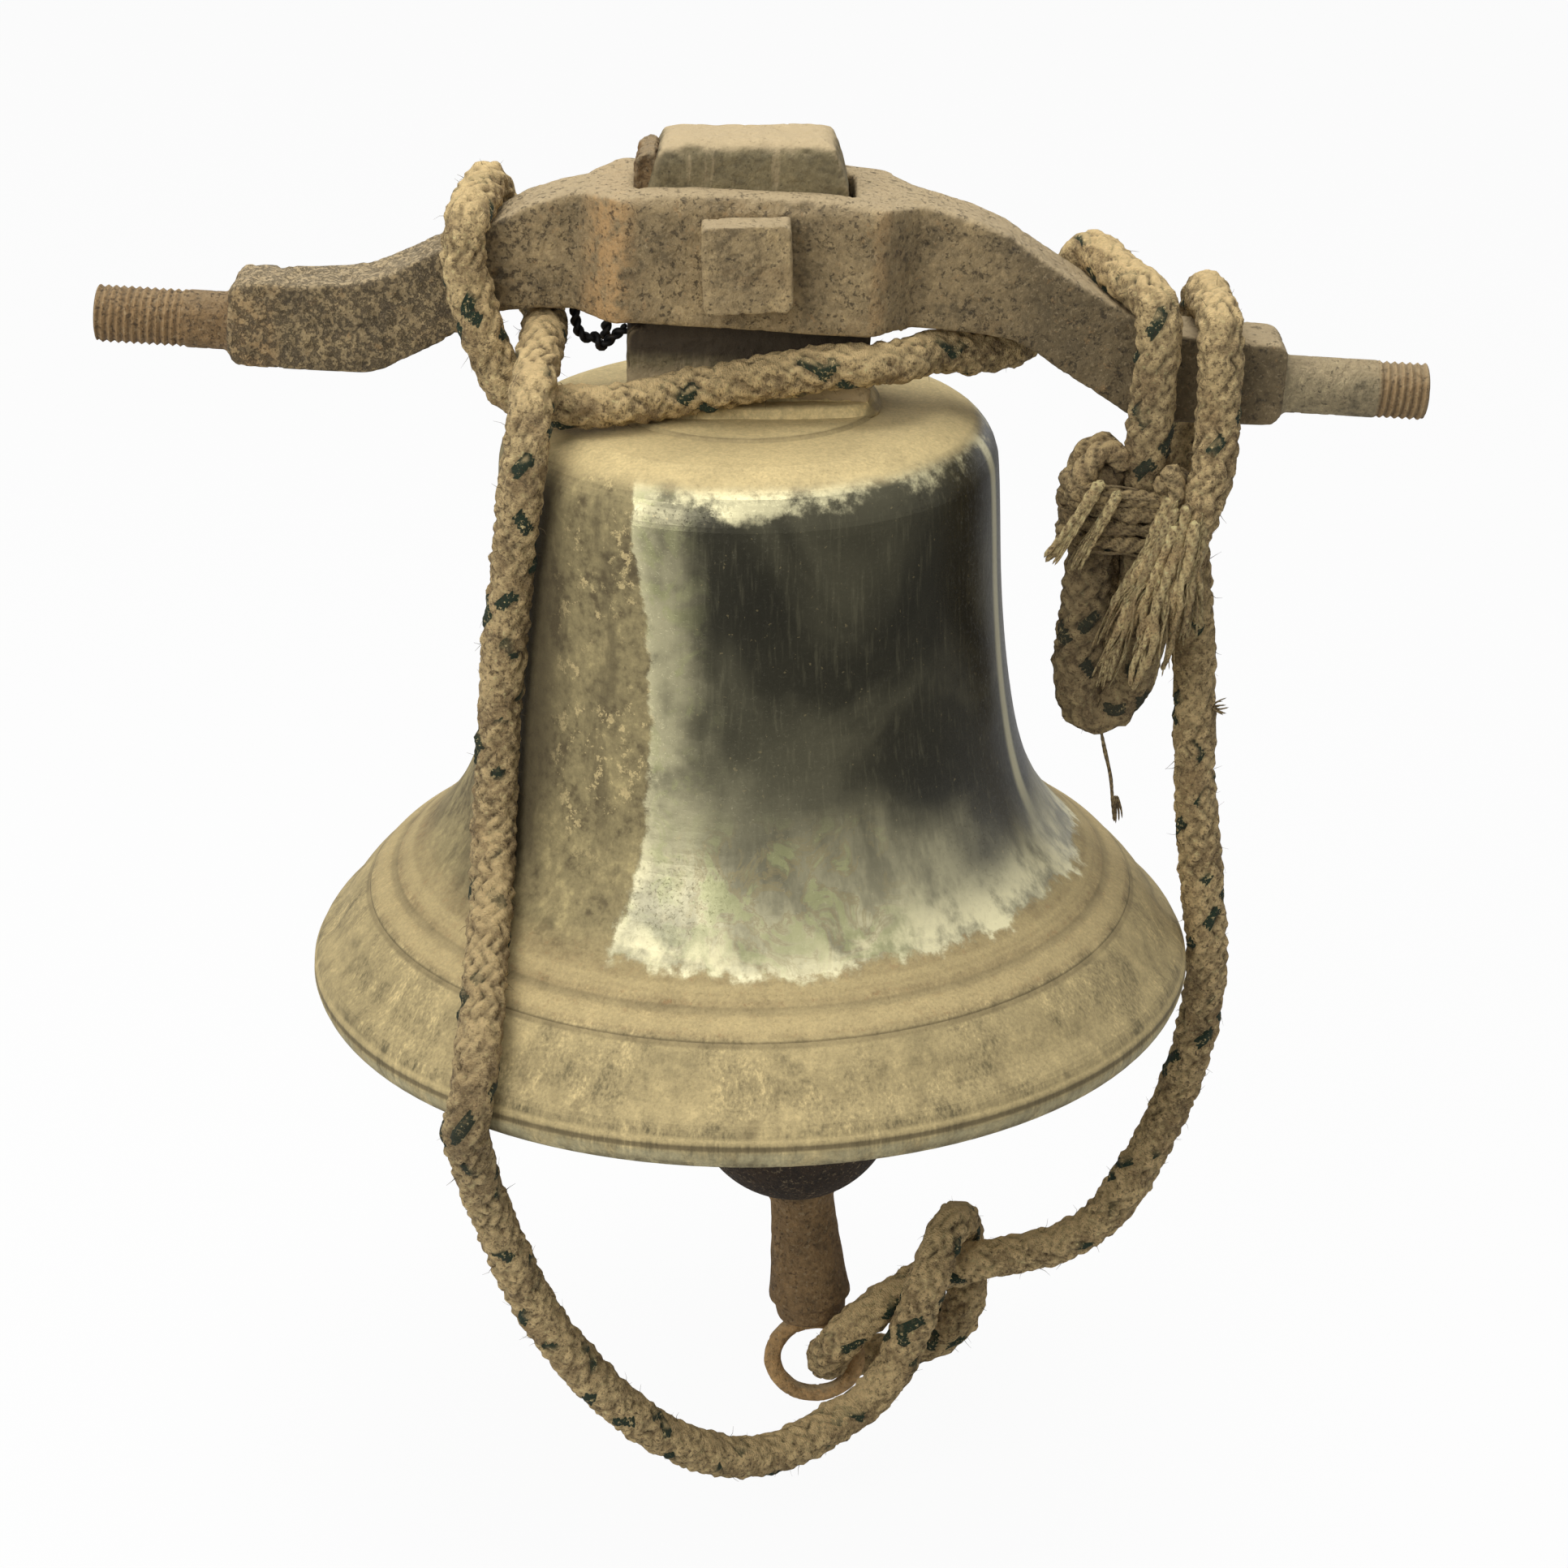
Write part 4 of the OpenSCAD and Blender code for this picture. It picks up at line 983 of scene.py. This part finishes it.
def rope_line():
    """Even points along the pull rope, which is pressed down where it crosses the arms"""
    line = relaxed(smooth_line(ROPE, 1.25 * MM), 4)
    for x, low, dip in PRESSED:
        beside = np.clip(1 - ((line[:, 0] - x) / (20 * MM)) ** 2, 0, 1)
        over = np.clip(1 - (line[:, 1] / (22 * MM)) ** 2, 0, 1)
        above = np.clip((line[:, 2] - low) / (8 * MM), 0, 1)
        line[:, 2] -= dip * beside * over * above
    return line


def grime_and_shade_along(run):
    """How dark the rope is at each distance along it, from grime and painted shade"""
    marks = travelled(np.array(ROPE))
    marks = marks * run[-1] / marks[-1]
    at = [marks[index] for index, _ in GRIME_AND_SHADE]
    return np.interp(run, at, [value for _, value in GRIME_AND_SHADE])


class BELL_OT_rope(bpy.types.Operator):
    """Braids the pull rope along its route"""
    bl_idname = "yoke_bell.rope"
    bl_label = "Pull rope"

    def execute(self, context):
        s = context.scene.bell_rope
        line = rope_line()
        run = travelled(line)
        sides = 44
        turn = turns(sides)
        height, tracer = braid(turn[None, :], run[:, None], s.strands, s.pick)
        skin = line[:, None] + round_line(line, turn) * s.diameter / 2
        in_leg = np.clip((run - LAST_LEG * run[-1]) / (8 * MM), 0, 1)[:, None]
        # Caked mud fills the braid, except in the last leg, and crumbs stand on the strands
        caked = np.clip(0.4 + 1.1 * unevenness(skin, 13 * MM, 5.0), 0, 0.9) * (1 - in_leg)
        height = height + (1 - height) * 0.6 * caked
        mud = unevenness(skin, 5.0 * MM) + 0.8 * unevenness(skin, 2.3 * MM, 7.0)
        swell = unevenness(line, 26 * MM, 2.0)[:, None]
        body = s.diameter / 2 - 0.1 * MM + 0.6 * MM * swell + 0.9 * MM * in_leg
        radius = body + s.depth * (height - 0.75) + 0.75 * MM * mud
        radius = radius * end_round(run, 6 * MM)[:, None]
        marks = {"relief": np.clip(height + 0.22 * mud, 0, 1), "tracer": tracer.astype(float),
                 "grime": grime_and_shade_along(run)[:, None]}
        mesh = tube_mesh("pull_rope", line, radius, sides, marks)
        material = rope_material("muddy rope", s, s.yarn, s.mud, 1.0, 0.0)
        rope = piece("pull_rope", [mesh], material)
        swings_with_rope(rope)
        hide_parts(*ROPE_NODES)
        self.make_fuzz(s, line, run, material)
        return {"FINISHED"}

    def make_fuzz(self, s, line, run, material):
        """Short bent fibres that stand off the rope"""
        draw = random.Random(4)
        ahead, side, other = directions(line)
        bm = bmesh.new()
        for _ in range(s.fibres):
            k = draw.randrange(10, len(line) - 10)
            turn = draw.uniform(0, 2 * math.pi)
            out = Vector(side[k]) * math.cos(turn) + Vector(other[k]) * math.sin(turn)
            along = Vector(ahead[k]) * draw.uniform(-1.6, 1.6)
            at = Vector(line[k]) + out * (s.diameter / 2 - 0.6 * MM)
            way = (out + along).normalized()
            long = draw.uniform(0.8, 2.6) * MM
            thick = draw.uniform(0.09, 0.2) * MM
            for part in range(2):
                spin = way.to_track_quat("Z", "Y").to_matrix().to_4x4()
                place = Matrix.Translation(at + way * long / 2) @ spin
                bmesh.ops.create_cone(bm, cap_ends=True, segments=3, radius1=thick,
                                      radius2=thick * 0.45, depth=long, matrix=place)
                at = at + way * long * 0.97
                bend = [draw.uniform(-0.6, 0.6) for _ in range(3)]
                way = (way + Vector(bend)).normalized()
                thick = thick * 0.45
        swings_with_rope(piece("rope_fuzz", [mesh_of(bm, "rope_fuzz")], material))


def seizing_points():
    """Line of the seizing: loops round the two legs of the eye, working down"""
    half = math.pi * SEIZING_REACH
    whole = 2 * (half + LEG_GAP)
    steps = 40
    found = []
    for k in range(int(SEIZING_LOOPS * steps) + 1):
        loops = k / steps
        s = (loops % 1) * whole
        if s < half:
            turn = math.pi * s / half
            x, y = LEG_GAP / 2 + SEIZING_REACH * math.sin(turn), -SEIZING_REACH * math.cos(turn)
        elif s < half + LEG_GAP:
            x, y = LEG_GAP / 2 - (s - half), SEIZING_REACH
        elif s < 2 * half + LEG_GAP:
            turn = math.pi * (s - half - LEG_GAP) / half
            x, y = -LEG_GAP / 2 - SEIZING_REACH * math.sin(turn), SEIZING_REACH * math.cos(turn)
        else:
            x, y = -LEG_GAP / 2 + (s - 2 * half - LEG_GAP), -SEIZING_REACH
        down = SEIZING_PITCH * loops
        found.append(SEIZING_TOP + (x, y + down * SEIZING_LEAN, -down))
    return found


def fringe_meshes():
    """Locks and thin yarns that fan out of the rope's frayed end"""
    draw = random.Random(11)
    tips = smooth_line(FRINGE_TIPS, 1 * MM)
    locks = 20
    yarns = 84
    # Sides, strands, lead, least and greatest half thickness in mm, share left at the tip
    kinds = {True: (14, 3, 14, 1.9, 2.9, 0.4), False: (6, 2, 6, 0.35, 0.8, 0.5)}
    meshes = []
    for k in range(yarns):
        lock = k < locks
        across = (k + 0.5) / locks if lock else draw.random()
        turn = math.pi * across
        start = FRINGE_TOP + Vector((-math.cos(turn) * 6.5, -math.sin(turn) * 4.0 + draw.uniform(-2, 4),
                                     draw.uniform(-1, 7))) * MM
        tip = Vector(tips[int(across * (len(tips) - 1))])
        tip.y += draw.uniform(-0.5, 8.0) * MM
        tip = start + (tip - start) * draw.uniform(0.7, 1.08)
        points = [start - (tip - start) * 0.15]
        for part in (0.2, 0.4, 0.6, 0.8):
            wave = Vector([draw.uniform(-1.6, 1.6) for _ in range(3)]) * MM
            belly = Vector((-1.5, -2.6, 0)) * MM * math.sin(math.pi * part)
            points.append(start + (tip - start) * part + wave + belly)
        points.append(tip)
        sides, strands, lead, least, most, left = kinds[lock]
        thick = draw.uniform(least, most) * MM
        meshes.append(cord_mesh("yarn", points, thick, 1.2 * MM, sides, strands, lead * MM, 0.3,
                                draw.uniform(0.0, 0.5), left))
    return meshes


def matted_wraps():
    """Loose yarns that cross on the seizing, the cords of its cap and the yarns in the eye"""
    draw = random.Random(31)
    base = np.array(seizing_points())
    middle = SEIZING_TOP + (0, SEIZING_LEAN * 12 * MM, -12 * MM)
    wraps = 34
    meshes = []
    for _ in range(wraps):
        start = draw.randrange(0, len(base) - 30)
        line = base[start:start + draw.randrange(14, 30):3]
        drift = draw.uniform(-7, 7) * MM
        points = []
        for i, p in enumerate(line):
            out = p - middle
            out[2] = 0
            out /= np.linalg.norm(out)
            lift = draw.uniform(0.6, 3.2) * MM
            points.append(p + out * lift + (0, 0, drift * i / len(line) + draw.uniform(-1, 1) * MM))
        meshes.append(cord_mesh("yarn", points, draw.uniform(0.5, 1.9) * MM, 1.2 * MM, 8, 2, 7 * MM,
                                0.35, draw.uniform(0.0, 0.5), 0.5))
    for points, thick in SEIZING_CAP + EYE_YARNS:
        meshes.append(cord_mesh("yarn", points, thick, 1.2 * MM, 20, 3, 16 * MM, 0.3, 0.0, 0.8))
    return meshes


class BELL_OT_bindings(bpy.types.Operator):
    """Makes the seizing, the frayed end, the tassel and the loose threads of the rope"""
    bl_idname = "yoke_bell.bindings"
    bl_label = "Seizing and frayed ends"

    def execute(self, context):
        s = context.scene.bell_rope
        draw = random.Random(23)
        old = rope_material("old cord", s, darker(s.yarn, 0.85), darker(s.mud, 0.8), 0.0, 0.12)
        pale = rope_material("pale yarns", s, darker(s.yarn, 1.7), darker(s.mud, 1.25), 0.0, 0.0)
        cord = cord_mesh("eye_seizing", seizing_points(), SEIZING_CORD / 2 + 0.5 * MM, 1.1 * MM, 20,
                         3, 13 * MM, 0.5, 0.25)
        seizing = piece("eye_seizing", [cord, *matted_wraps()], old)
        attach(seizing, BELL_BODY)
        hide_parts("rope_seizing")

        fringe = piece("rope_fringe", fringe_meshes(), pale)
        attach(fringe, BELL_BODY)
        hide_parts("rope_frayed_end")

        yarns = []
        for points, thick in TASSEL:
            for k in range(12):
                shift = [draw.uniform(-1.3, 1.3) * MM for _ in range(3)]
                spread = [[c + shift[n] * (0.5 + i * 0.45) for n, c in enumerate(p)]
                          for i, p in enumerate(points)]
                size = thick * (0.95 if k < 4 else 0.4)
                yarns.append(cord_mesh("yarn", spread, size, 1.2 * MM, 10, 2, 9 * MM, 0.3,
                                       draw.uniform(0.0, 0.5), 0.45))
        tassel = piece("tassel_yarns", yarns, pale)
        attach(tassel, BELL_BODY)
        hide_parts("seizing_tassel")

        threads = [cord_mesh("thread", TWINE, 0.75 * MM, 1.2 * MM, 8, 2, 5 * MM, 0.3, 0.2, 0.8)]
        for k in range(3):
            tail = [(0.1306 + k * 0.0006, -0.012, -0.146), (0.132 + k * 0.0009, -0.012, -0.151),
                    (0.1325 + k * 0.001, -0.0125, -0.1565 + k * 0.001)]
            threads.append(cord_mesh("thread", tail, 0.7 * MM, 1 * MM, 6, 2, 4 * MM, 0.3, 0.2, 0.4))
        twine = piece("loose_thread", threads, old)
        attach(twine, BELL_BODY)
        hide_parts("twine_end")

        tuft = []
        for _ in range(9):
            way = Vector((draw.uniform(0.4, 1), draw.uniform(-0.5, 0.3), draw.uniform(-0.5, 0.5)))
            start = Vector(TUFT_AT)
            end = start + way.normalized() * draw.uniform(4, 7) * MM
            middle = (start + end) / 2 + Vector((0, 0, draw.uniform(-1, 1))) * MM
            tuft.append(cord_mesh("yarn", [start, middle, end], draw.uniform(0.35, 0.6) * MM,
                                  1 * MM, 5, 2, 4 * MM, 0.2, 0.2, 0.4))
        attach(piece("rope_tuft", tuft, old), BELL_BODY)
        return {"FINISHED"}


def declare_rope():
    """Works out the rope's line, which is not used"""
    line = rope_line()


class BELL_OT_wire(bpy.types.Operator):
    """Twists the black wire that hangs under the yoke"""
    bl_idname = "yoke_bell.wire"
    bl_label = "Tie wire"

    def execute(self, context):
        meshes = []
        for points in TIE_WIRES:
            line = smooth_line(points, 0.5 * MM)
            run = travelled(line)
            _, side, other = directions(line)
            for start in (0, math.pi):
                turn = start + run / WIRE_LEAD * 2 * math.pi
                off = side * np.cos(turn)[:, None] + other * np.sin(turn)[:, None]
                twisted = line + off * WIRE_TWIST
                meshes.append(tube_mesh("wire", twisted, WIRE_R * end_round(run, 1 * MM), 8, {}))
        wire = piece("twisted_wire", meshes, wire_material(context.scene.bell_iron))
        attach(wire, BELL_BODY)
        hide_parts("tie_wire")
        return {"FINISHED"}


def yoke_skin(pit_depth):
    """Rough cast skin of the yoke, with deeper pits on its left arm"""
    def skin(points, normals):
        left = np.clip((-0.07 - points[:, 0]) / 0.03, 0, 1)
        big = pits(points, 3.6 * MM, 0.3 - 0.12 * left, 1.0) * (0.45 + 0.75 * left)
        small = pits(points, 1.9 * MM, 0.3, 5.0)
        waves = unevenness(points, 24 * MM, 9.0)
        return 0.5 * MM * waves - pit_depth * big - 0.35 * pit_depth * small
    return skin


def plain_skin(depth, size):
    """Rough skin of a smaller forging"""
    def skin(points, normals):
        return depth * (unevenness(points, 3 * size, 4.0) * 0.7 - pits(points, size, 0.25, 2.0))
    return skin


def tang_skin(points, normals):
    """Uneven skin that just covers the bell's neck and tang"""
    waves = 0.45 * unevenness(points, 11 * MM, 3.0) + 0.3 * unevenness(points, 3.5 * MM, 6.0)
    return MM * (0.75 + waves - 0.5 * pits(points, 2.4 * MM, 0.3, 9.0))


def fibrous_skin(points, normals):
    """Layered rusty skin of the wedge"""
    drawn = points * (1.0, 1.0, 0.3)
    flakes = 1.2 * unevenness(drawn, 3 * MM, 6.0) + 0.6 * unevenness(points, 1.4 * MM, 1.0)
    to_tang = np.clip(normals[:, 0], 0, 1) * np.clip((points[:, 2] - 0.052) / (4 * MM), 0, 1)
    return MM * (0.4 + flakes + 2.4 * to_tang)


class BELL_OT_castings(bpy.types.Operator):
    """Gives the yoke, bolt, nut, tang, wedge, clapper's tail and pull eye a rough skin"""
    bl_idname = "yoke_bell.castings"
    bl_label = "Rough castings"

    def execute(self, context):
        s = context.scene.bell_iron
        depth = s.pit_depth
        # Irons: share of rust, of dust and of pits, and how fine the grain is
        yoke_iron = iron_material("yoke iron", s, s.iron, 0.25, 0.85, 0.3, 240, True)
        bolt_iron = iron_material("bolt iron", s, darker(s.iron, 1.3), 0.3, 0.9, 0.25, 300)
        rusty = iron_material("rusty iron", s, darker(s.rust, 1.7), 0.4, 0.8, 0.2, 420)
        crust = iron_material("wedge crust", s, darker(s.rust, 0.6), 0.35, 0.5, 0.35, 420)
        tang = tang_material(s)
        tail_iron = iron_material("tail iron", s, darker(s.rust, 0.66), 0.1, 0.5, 0.3, 300)
        # Node, name, size of a voxel in mm, rounds of smoothing, skin, material, slot and body
        jobs = [
            ("yoke", "yoke_casting", 1.35, 3, yoke_skin(depth), yoke_iron, "yoke_iron", BELL_BODY),
            ("yoke_bolt", "bolt_casting", 0.8, 2, plain_skin(0.6 * depth, 2.4 * MM), bolt_iron,
             "hardware_iron", BELL_BODY),
            ("yoke_bolt_nut", "nut_casting", 0.8, 2, plain_skin(0.6 * depth, 2.4 * MM), bolt_iron,
             "hardware_iron", BELL_BODY),
            ("bell", "tang_casting", 0.9, 4, tang_skin, tang, "bronze", BELL_BODY),
            ("tang_wedge", "wedge_casting", 0.6, 1, fibrous_skin, crust, "rusty_iron", BELL_BODY),
            ("clapper_tail", "tail_casting", 0.55, 1, plain_skin(0.4 * depth, 2 * MM), tail_iron,
             "clapper_iron", CLAPPER_BODY),
            ("pull_eye", "eye_casting", 0.5, 2, plain_skin(0.45 * depth, 1.6 * MM), rusty,
             "rusty_iron", CLAPPER_BODY),
        ]
        for node, name, voxel, rounds, skin, material, slot, body in jobs:
            mesh = cast_copy(node, name, voxel * MM, rounds, skin, CUTS.get(node, ()))
            made = piece(name, [mesh], material)
            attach(made, body)
            if node != "bell":
                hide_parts(node)
        return {"FINISHED"}


class BELL_OT_mouldings(bpy.types.Operator):
    """Lays the soft turned ridges over the grooves of the bell's brim and lip"""
    bl_idname = "yoke_bell.mouldings"
    bl_label = "Mouldings"

    def execute(self, context):
        heights = [h for h, _ in BELL_SIDE]
        radii = [r for _, r in BELL_SIDE]
        meshes = []
        for ridges in (BAND_RIDGES, LIP_RIDGES):
            low, high = ridges[0][0], ridges[-1][0]
            h = np.arange(low, high + 0.01, 0.5)
            lift = np.interp(h, [at for at, _ in ridges], [up for _, up in ridges])
            slope = np.gradient(np.interp(h, heights, radii), h)
            size = np.sqrt(1 + slope ** 2)
            outer = np.interp(h, heights, radii) + lift / size
            inner = np.interp(h, heights, radii) - 1.5 / size
            profile = [(r, z) for r, z in zip(outer, h)] + [(r, z) for r, z in zip(inner, h)][::-1]
            bm = bmesh.new()
            verts = [bm.verts.new((r * MM, 0, z * MM)) for r, z in profile]
            edges = [bm.edges.new((a, b)) for a, b in zip(verts, verts[1:] + verts[:1])]
            bmesh.ops.spin(bm, geom=verts + edges, cent=(0, 0, 0), axis=(0, 0, 1),
                           angle=2 * math.pi, steps=300, use_merge=True)
            bmesh.ops.transform(bm, verts=bm.verts, matrix=ON_BELL)
            meshes.append(closed(mesh_of(bm, "mouldings")))
        bronze = bpy.data.materials["weathered bronze"]
        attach(piece("mouldings", meshes, bronze), BELL_BODY)
        return {"FINISHED"}


class BELL_OT_neck_foot(bpy.types.Operator):
    """Lays the crown's raised disc and heaps dusty dirt on it, round the foot of the neck"""
    bl_idname = "yoke_bell.neck_foot"
    bl_label = "Dirt at the neck"

    def execute(self, context):
        meshes = []
        for half_wide, half_deep, tall, top, roundness in FOOT_FORMS:
            bm = bmesh.new()
            bmesh.ops.create_cone(bm, cap_ends=True, cap_tris=True, segments=120, radius1=1,
                                  radius2=top, depth=2)
            for vert in bm.verts:
                x, y, z = vert.co
                vert.co.x = math.copysign(abs(x) ** roundness, x) * half_wide * MM
                vert.co.y = math.copysign(abs(y) ** roundness, y) * half_deep * MM
                vert.co.z = CROWN_HEIGHT + (tall if z > 0 else -1) * MM
            rim = [edge for edge in bm.edges if edge.calc_face_angle(0) > 1]
            bmesh.ops.bevel(bm, geom=rim, offset=0.35 * tall * MM, segments=3, profile=0.5,
                            affect="EDGES", material=-1)
            bmesh.ops.subdivide_edges(bm, edges=bm.edges[:], cuts=2, use_grid_fill=True)
            bmesh.ops.transform(bm, verts=bm.verts, matrix=ON_BELL)
            bm.normal_update()
            for vert in bm.verts:
                lump = 0.1 * tall * noise.noise(vert.co / (5 * MM))
                vert.co += vert.normal * lump * MM
            meshes.append(closed(mesh_of(bm, "neck_dirt")))
        dirt = piece("neck_dirt", meshes, bpy.data.materials["weathered bronze"])
        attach(dirt, BELL_BODY)
        return {"FINISHED"}


class BELL_OT_journals(bpy.types.Operator):
    """Turns the two threaded journals of the yoke"""
    bl_idname = "yoke_bell.journals"
    bl_label = "Journals"

    def execute(self, context):
        s = context.scene.bell_iron
        rusty = iron_material("left journal iron", s, darker(s.rust, 0.6), 0.7, 0.25, 0.4, 340)
        worn = iron_material("right journal iron", s, s.worn, 0.3, 0.5, 0.2, 340)
        # Name, side, length from the block, threaded length and iron
        for name, way, long, threaded, material in (
                ("journal_left", -1, 45 * MM, 31 * MM, rusty),
                ("journal_right", 1, 49 * MM, 18 * MM, worn)):
            start = BLOCK_FACE - 4 * MM
            count = 260
            x = np.linspace(start, BLOCK_FACE + long, count)
            line = np.column_stack([way * x, np.zeros(count), np.zeros(count)])
            sides = 72
            turn = turns(sides)
            phase = (x[:, None] / THREAD_PITCH + turn[None, :] / (2 * math.pi)) % 1
            crest = np.abs(2 * phase - 1)
            from_end = BLOCK_FACE + long - x
            in_thread = np.clip((threaded - from_end) / (2 * MM), 0, 1)
            in_thread = in_thread * np.clip(from_end / (2 * MM), 0.2, 1)
            radius = np.full((count, sides + 1), JOURNAL_R)
            radius -= in_thread[:, None] * THREAD_DEPTH * (1 - crest) ** 0.8
            root = np.clip(1 - (x - BLOCK_FACE) / (2.8 * MM), 0, 1)
            radius += (2.0 * MM * root ** 2)[:, None]
            radius *= end_round(x - x[0], 1.4 * MM)[:, None]
            skin = line[:, None] + np.array((0, 1, 0)) * np.cos(turn)[None, :, None] * JOURNAL_R
            skin = skin + np.array((0, 0, 1)) * np.sin(turn)[None, :, None] * JOURNAL_R
            radius -= 0.35 * MM * pits(skin, 2.6 * MM, 0.2, 8.0) * (radius > 2 * MM)
            marks = {"grime": in_thread[:, None], "tracer": in_thread[:, None] * (1 - crest)}
            mesh = tube_mesh(name, line, radius, sides, marks)
            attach(piece(name, [mesh], material), BELL_BODY)
        return {"FINISHED"}


class BELL_OT_finishes(bpy.types.Operator):
    """Gives the bell, the clapper and its hanger their weathered finishes"""
    bl_idname = "yoke_bell.finishes"
    bl_label = "Bell and clapper finishes"

    def execute(self, context):
        s = context.scene.bell_iron
        bronze = bronze_material(context.scene.bell_bronze)
        clapper = iron_material("clapper iron", s, s.clapper, 0.1, 0.15, 0.4, 220)
        hanger = iron_material("hanger iron", s, darker(s.iron, 0.8), 0.45, 0.5, 0.4, 380)
        finishes = {
            "bell": bronze, "clapper_arm": clapper, "clapper_ball": clapper,
            "clapper_staple": hanger, "staple_nut": hanger, "clapper_pin": hanger,
            "pin_washer": hanger, "pin_cotter": hanger,
        }
        for node, material in finishes.items():
            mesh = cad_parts[node].data
            mesh.materials.clear()
            mesh.materials.append(material)
        return {"FINISHED"}


# Studio


def soft_lamp(name, at, aim, size, power):
    """A square lamp that looks at a point"""
    data = bpy.data.lights.new(name, "AREA")
    data.shape = "SQUARE"
    data.size = size
    data.energy = power
    lamp = linked(name, data)
    lamp.location = at
    lamp.rotation_mode = "QUATERNION"
    lamp.rotation_quaternion = (Vector(aim) - Vector(at)).to_track_quat("-Z", "Y")


class BELL_OT_stage(bpy.types.Operator):
    """Sets the camera, the plain floor and the soft lamps"""
    bl_idname = "yoke_bell.stage"
    bl_label = "Camera, floor and lamps"

    def execute(self, context):
        s = context.scene.bell_stage
        self.make_camera()
        self.make_floor(s)
        self.make_world(s)
        soft_lamp("overhead lamp", (-0.1, 0.1, 1.3), (0, 0, -0.1), 1.1, s.overhead)
        soft_lamp("front lamp", (-0.9, -1.3, 0.7), (0, 0, -0.15), 0.9, s.front)
        context.scene.view_settings.view_transform = "Standard"
        return {"FINISHED"}

    def make_camera(self):
        data = bpy.data.cameras.new("camera")
        data.sensor_width = SENSOR
        data.lens = CAMERA_LENS
        camera = linked("camera", data)
        up = CAMERA_RIGHT.cross(CAMERA_AHEAD).normalized()
        turn = Matrix((CAMERA_RIGHT.normalized(), up, -CAMERA_AHEAD.normalized())).transposed()
        camera.matrix_world = Matrix.Translation(CAMERA_AT) @ turn.to_4x4()
        bpy.context.scene.camera = camera

    def make_floor(self, s):
        bm = bmesh.new()
        bmesh.ops.create_grid(bm, x_segments=1, y_segments=1, size=6.0,
                              matrix=Matrix.Translation((0, 0, FLOOR_HEIGHT)))
        floor = linked("floor", mesh_of(bm, "floor"))
        material, w = new_material("pale floor")
        seen = w.value("LightPath", out="Is Camera Ray")
        plain = w.put("BsdfDiffuse", {"Color": s.floor}).outputs[0]
        white = w.put("Emission", {"Color": (1, 1, 1), "Strength": 1}).outputs[0]
        both = w.put("MixShader", {0: seen * 0.95, 1: plain, 2: white})
        w.put("OutputMaterial", {"Surface": both.outputs[0]})
        floor.data.materials.append(material)

    def make_world(self, s):
        world = bpy.data.worlds.new("studio")
        bpy.context.scene.world = world
        world.use_nodes = True
        world.node_tree.nodes.clear()
        w = Wiring(world.node_tree)
        rays = w.put("LightPath").outputs
        seen = w.math("MAXIMUM", rays["Is Camera Ray"],
                      w.math("MAXIMUM", rays["Is Glossy Ray"], rays["Is Transmission Ray"]))
        sky = w.put("Background", {"Color": (1, 1, 1), "Strength": seen * (1 - s.sky) + s.sky})
        w.put("OutputWorld", {"Surface": sky.outputs[0]})


class BELL_PT_panel(bpy.types.Panel):
    """Steps and settings of the bell's looks"""
    bl_label = "Yoke bell"
    bl_space_type = "VIEW_3D"
    bl_region_type = "UI"
    bl_category = "Yoke bell"

    def draw(self, context):
        for operator in OPERATORS:
            self.layout.operator(operator.bl_idname)
        for group in SETTINGS:
            settings = getattr(context.scene, group)
            box = self.layout.box()
            for key in settings.bl_rna.properties.keys():
                if key not in ("rna_type", "name"):
                    box.prop(settings, key)


SETTINGS = {"bell_rope": RopeSettings, "bell_bronze": BronzeSettings,
            "bell_iron": IronSettings, "bell_stage": StageSettings}
OPERATORS = [BELL_OT_rope, BELL_OT_bindings, BELL_OT_wire, BELL_OT_castings, BELL_OT_journals,
             BELL_OT_finishes, BELL_OT_mouldings, BELL_OT_neck_foot, BELL_OT_stage]


def register():
    for made in [*SETTINGS.values(), *OPERATORS, BELL_PT_panel]:
        bpy.utils.register_class(made)
    for name, made in SETTINGS.items():
        setattr(bpy.types.Scene, name, PointerProperty(type=made))


def unregister():
    for name in SETTINGS:
        delattr(bpy.types.Scene, name)
    for made in [BELL_PT_panel, *reversed(OPERATORS), *reversed(SETTINGS.values())]:
        bpy.utils.unregister_class(made)


def main():
    register()
    for operator in OPERATORS:
        family, name = operator.bl_idname.split(".")
        getattr(getattr(bpy.ops, family), name)()
    declare_rope()


if __name__ == "__main__":
    main()
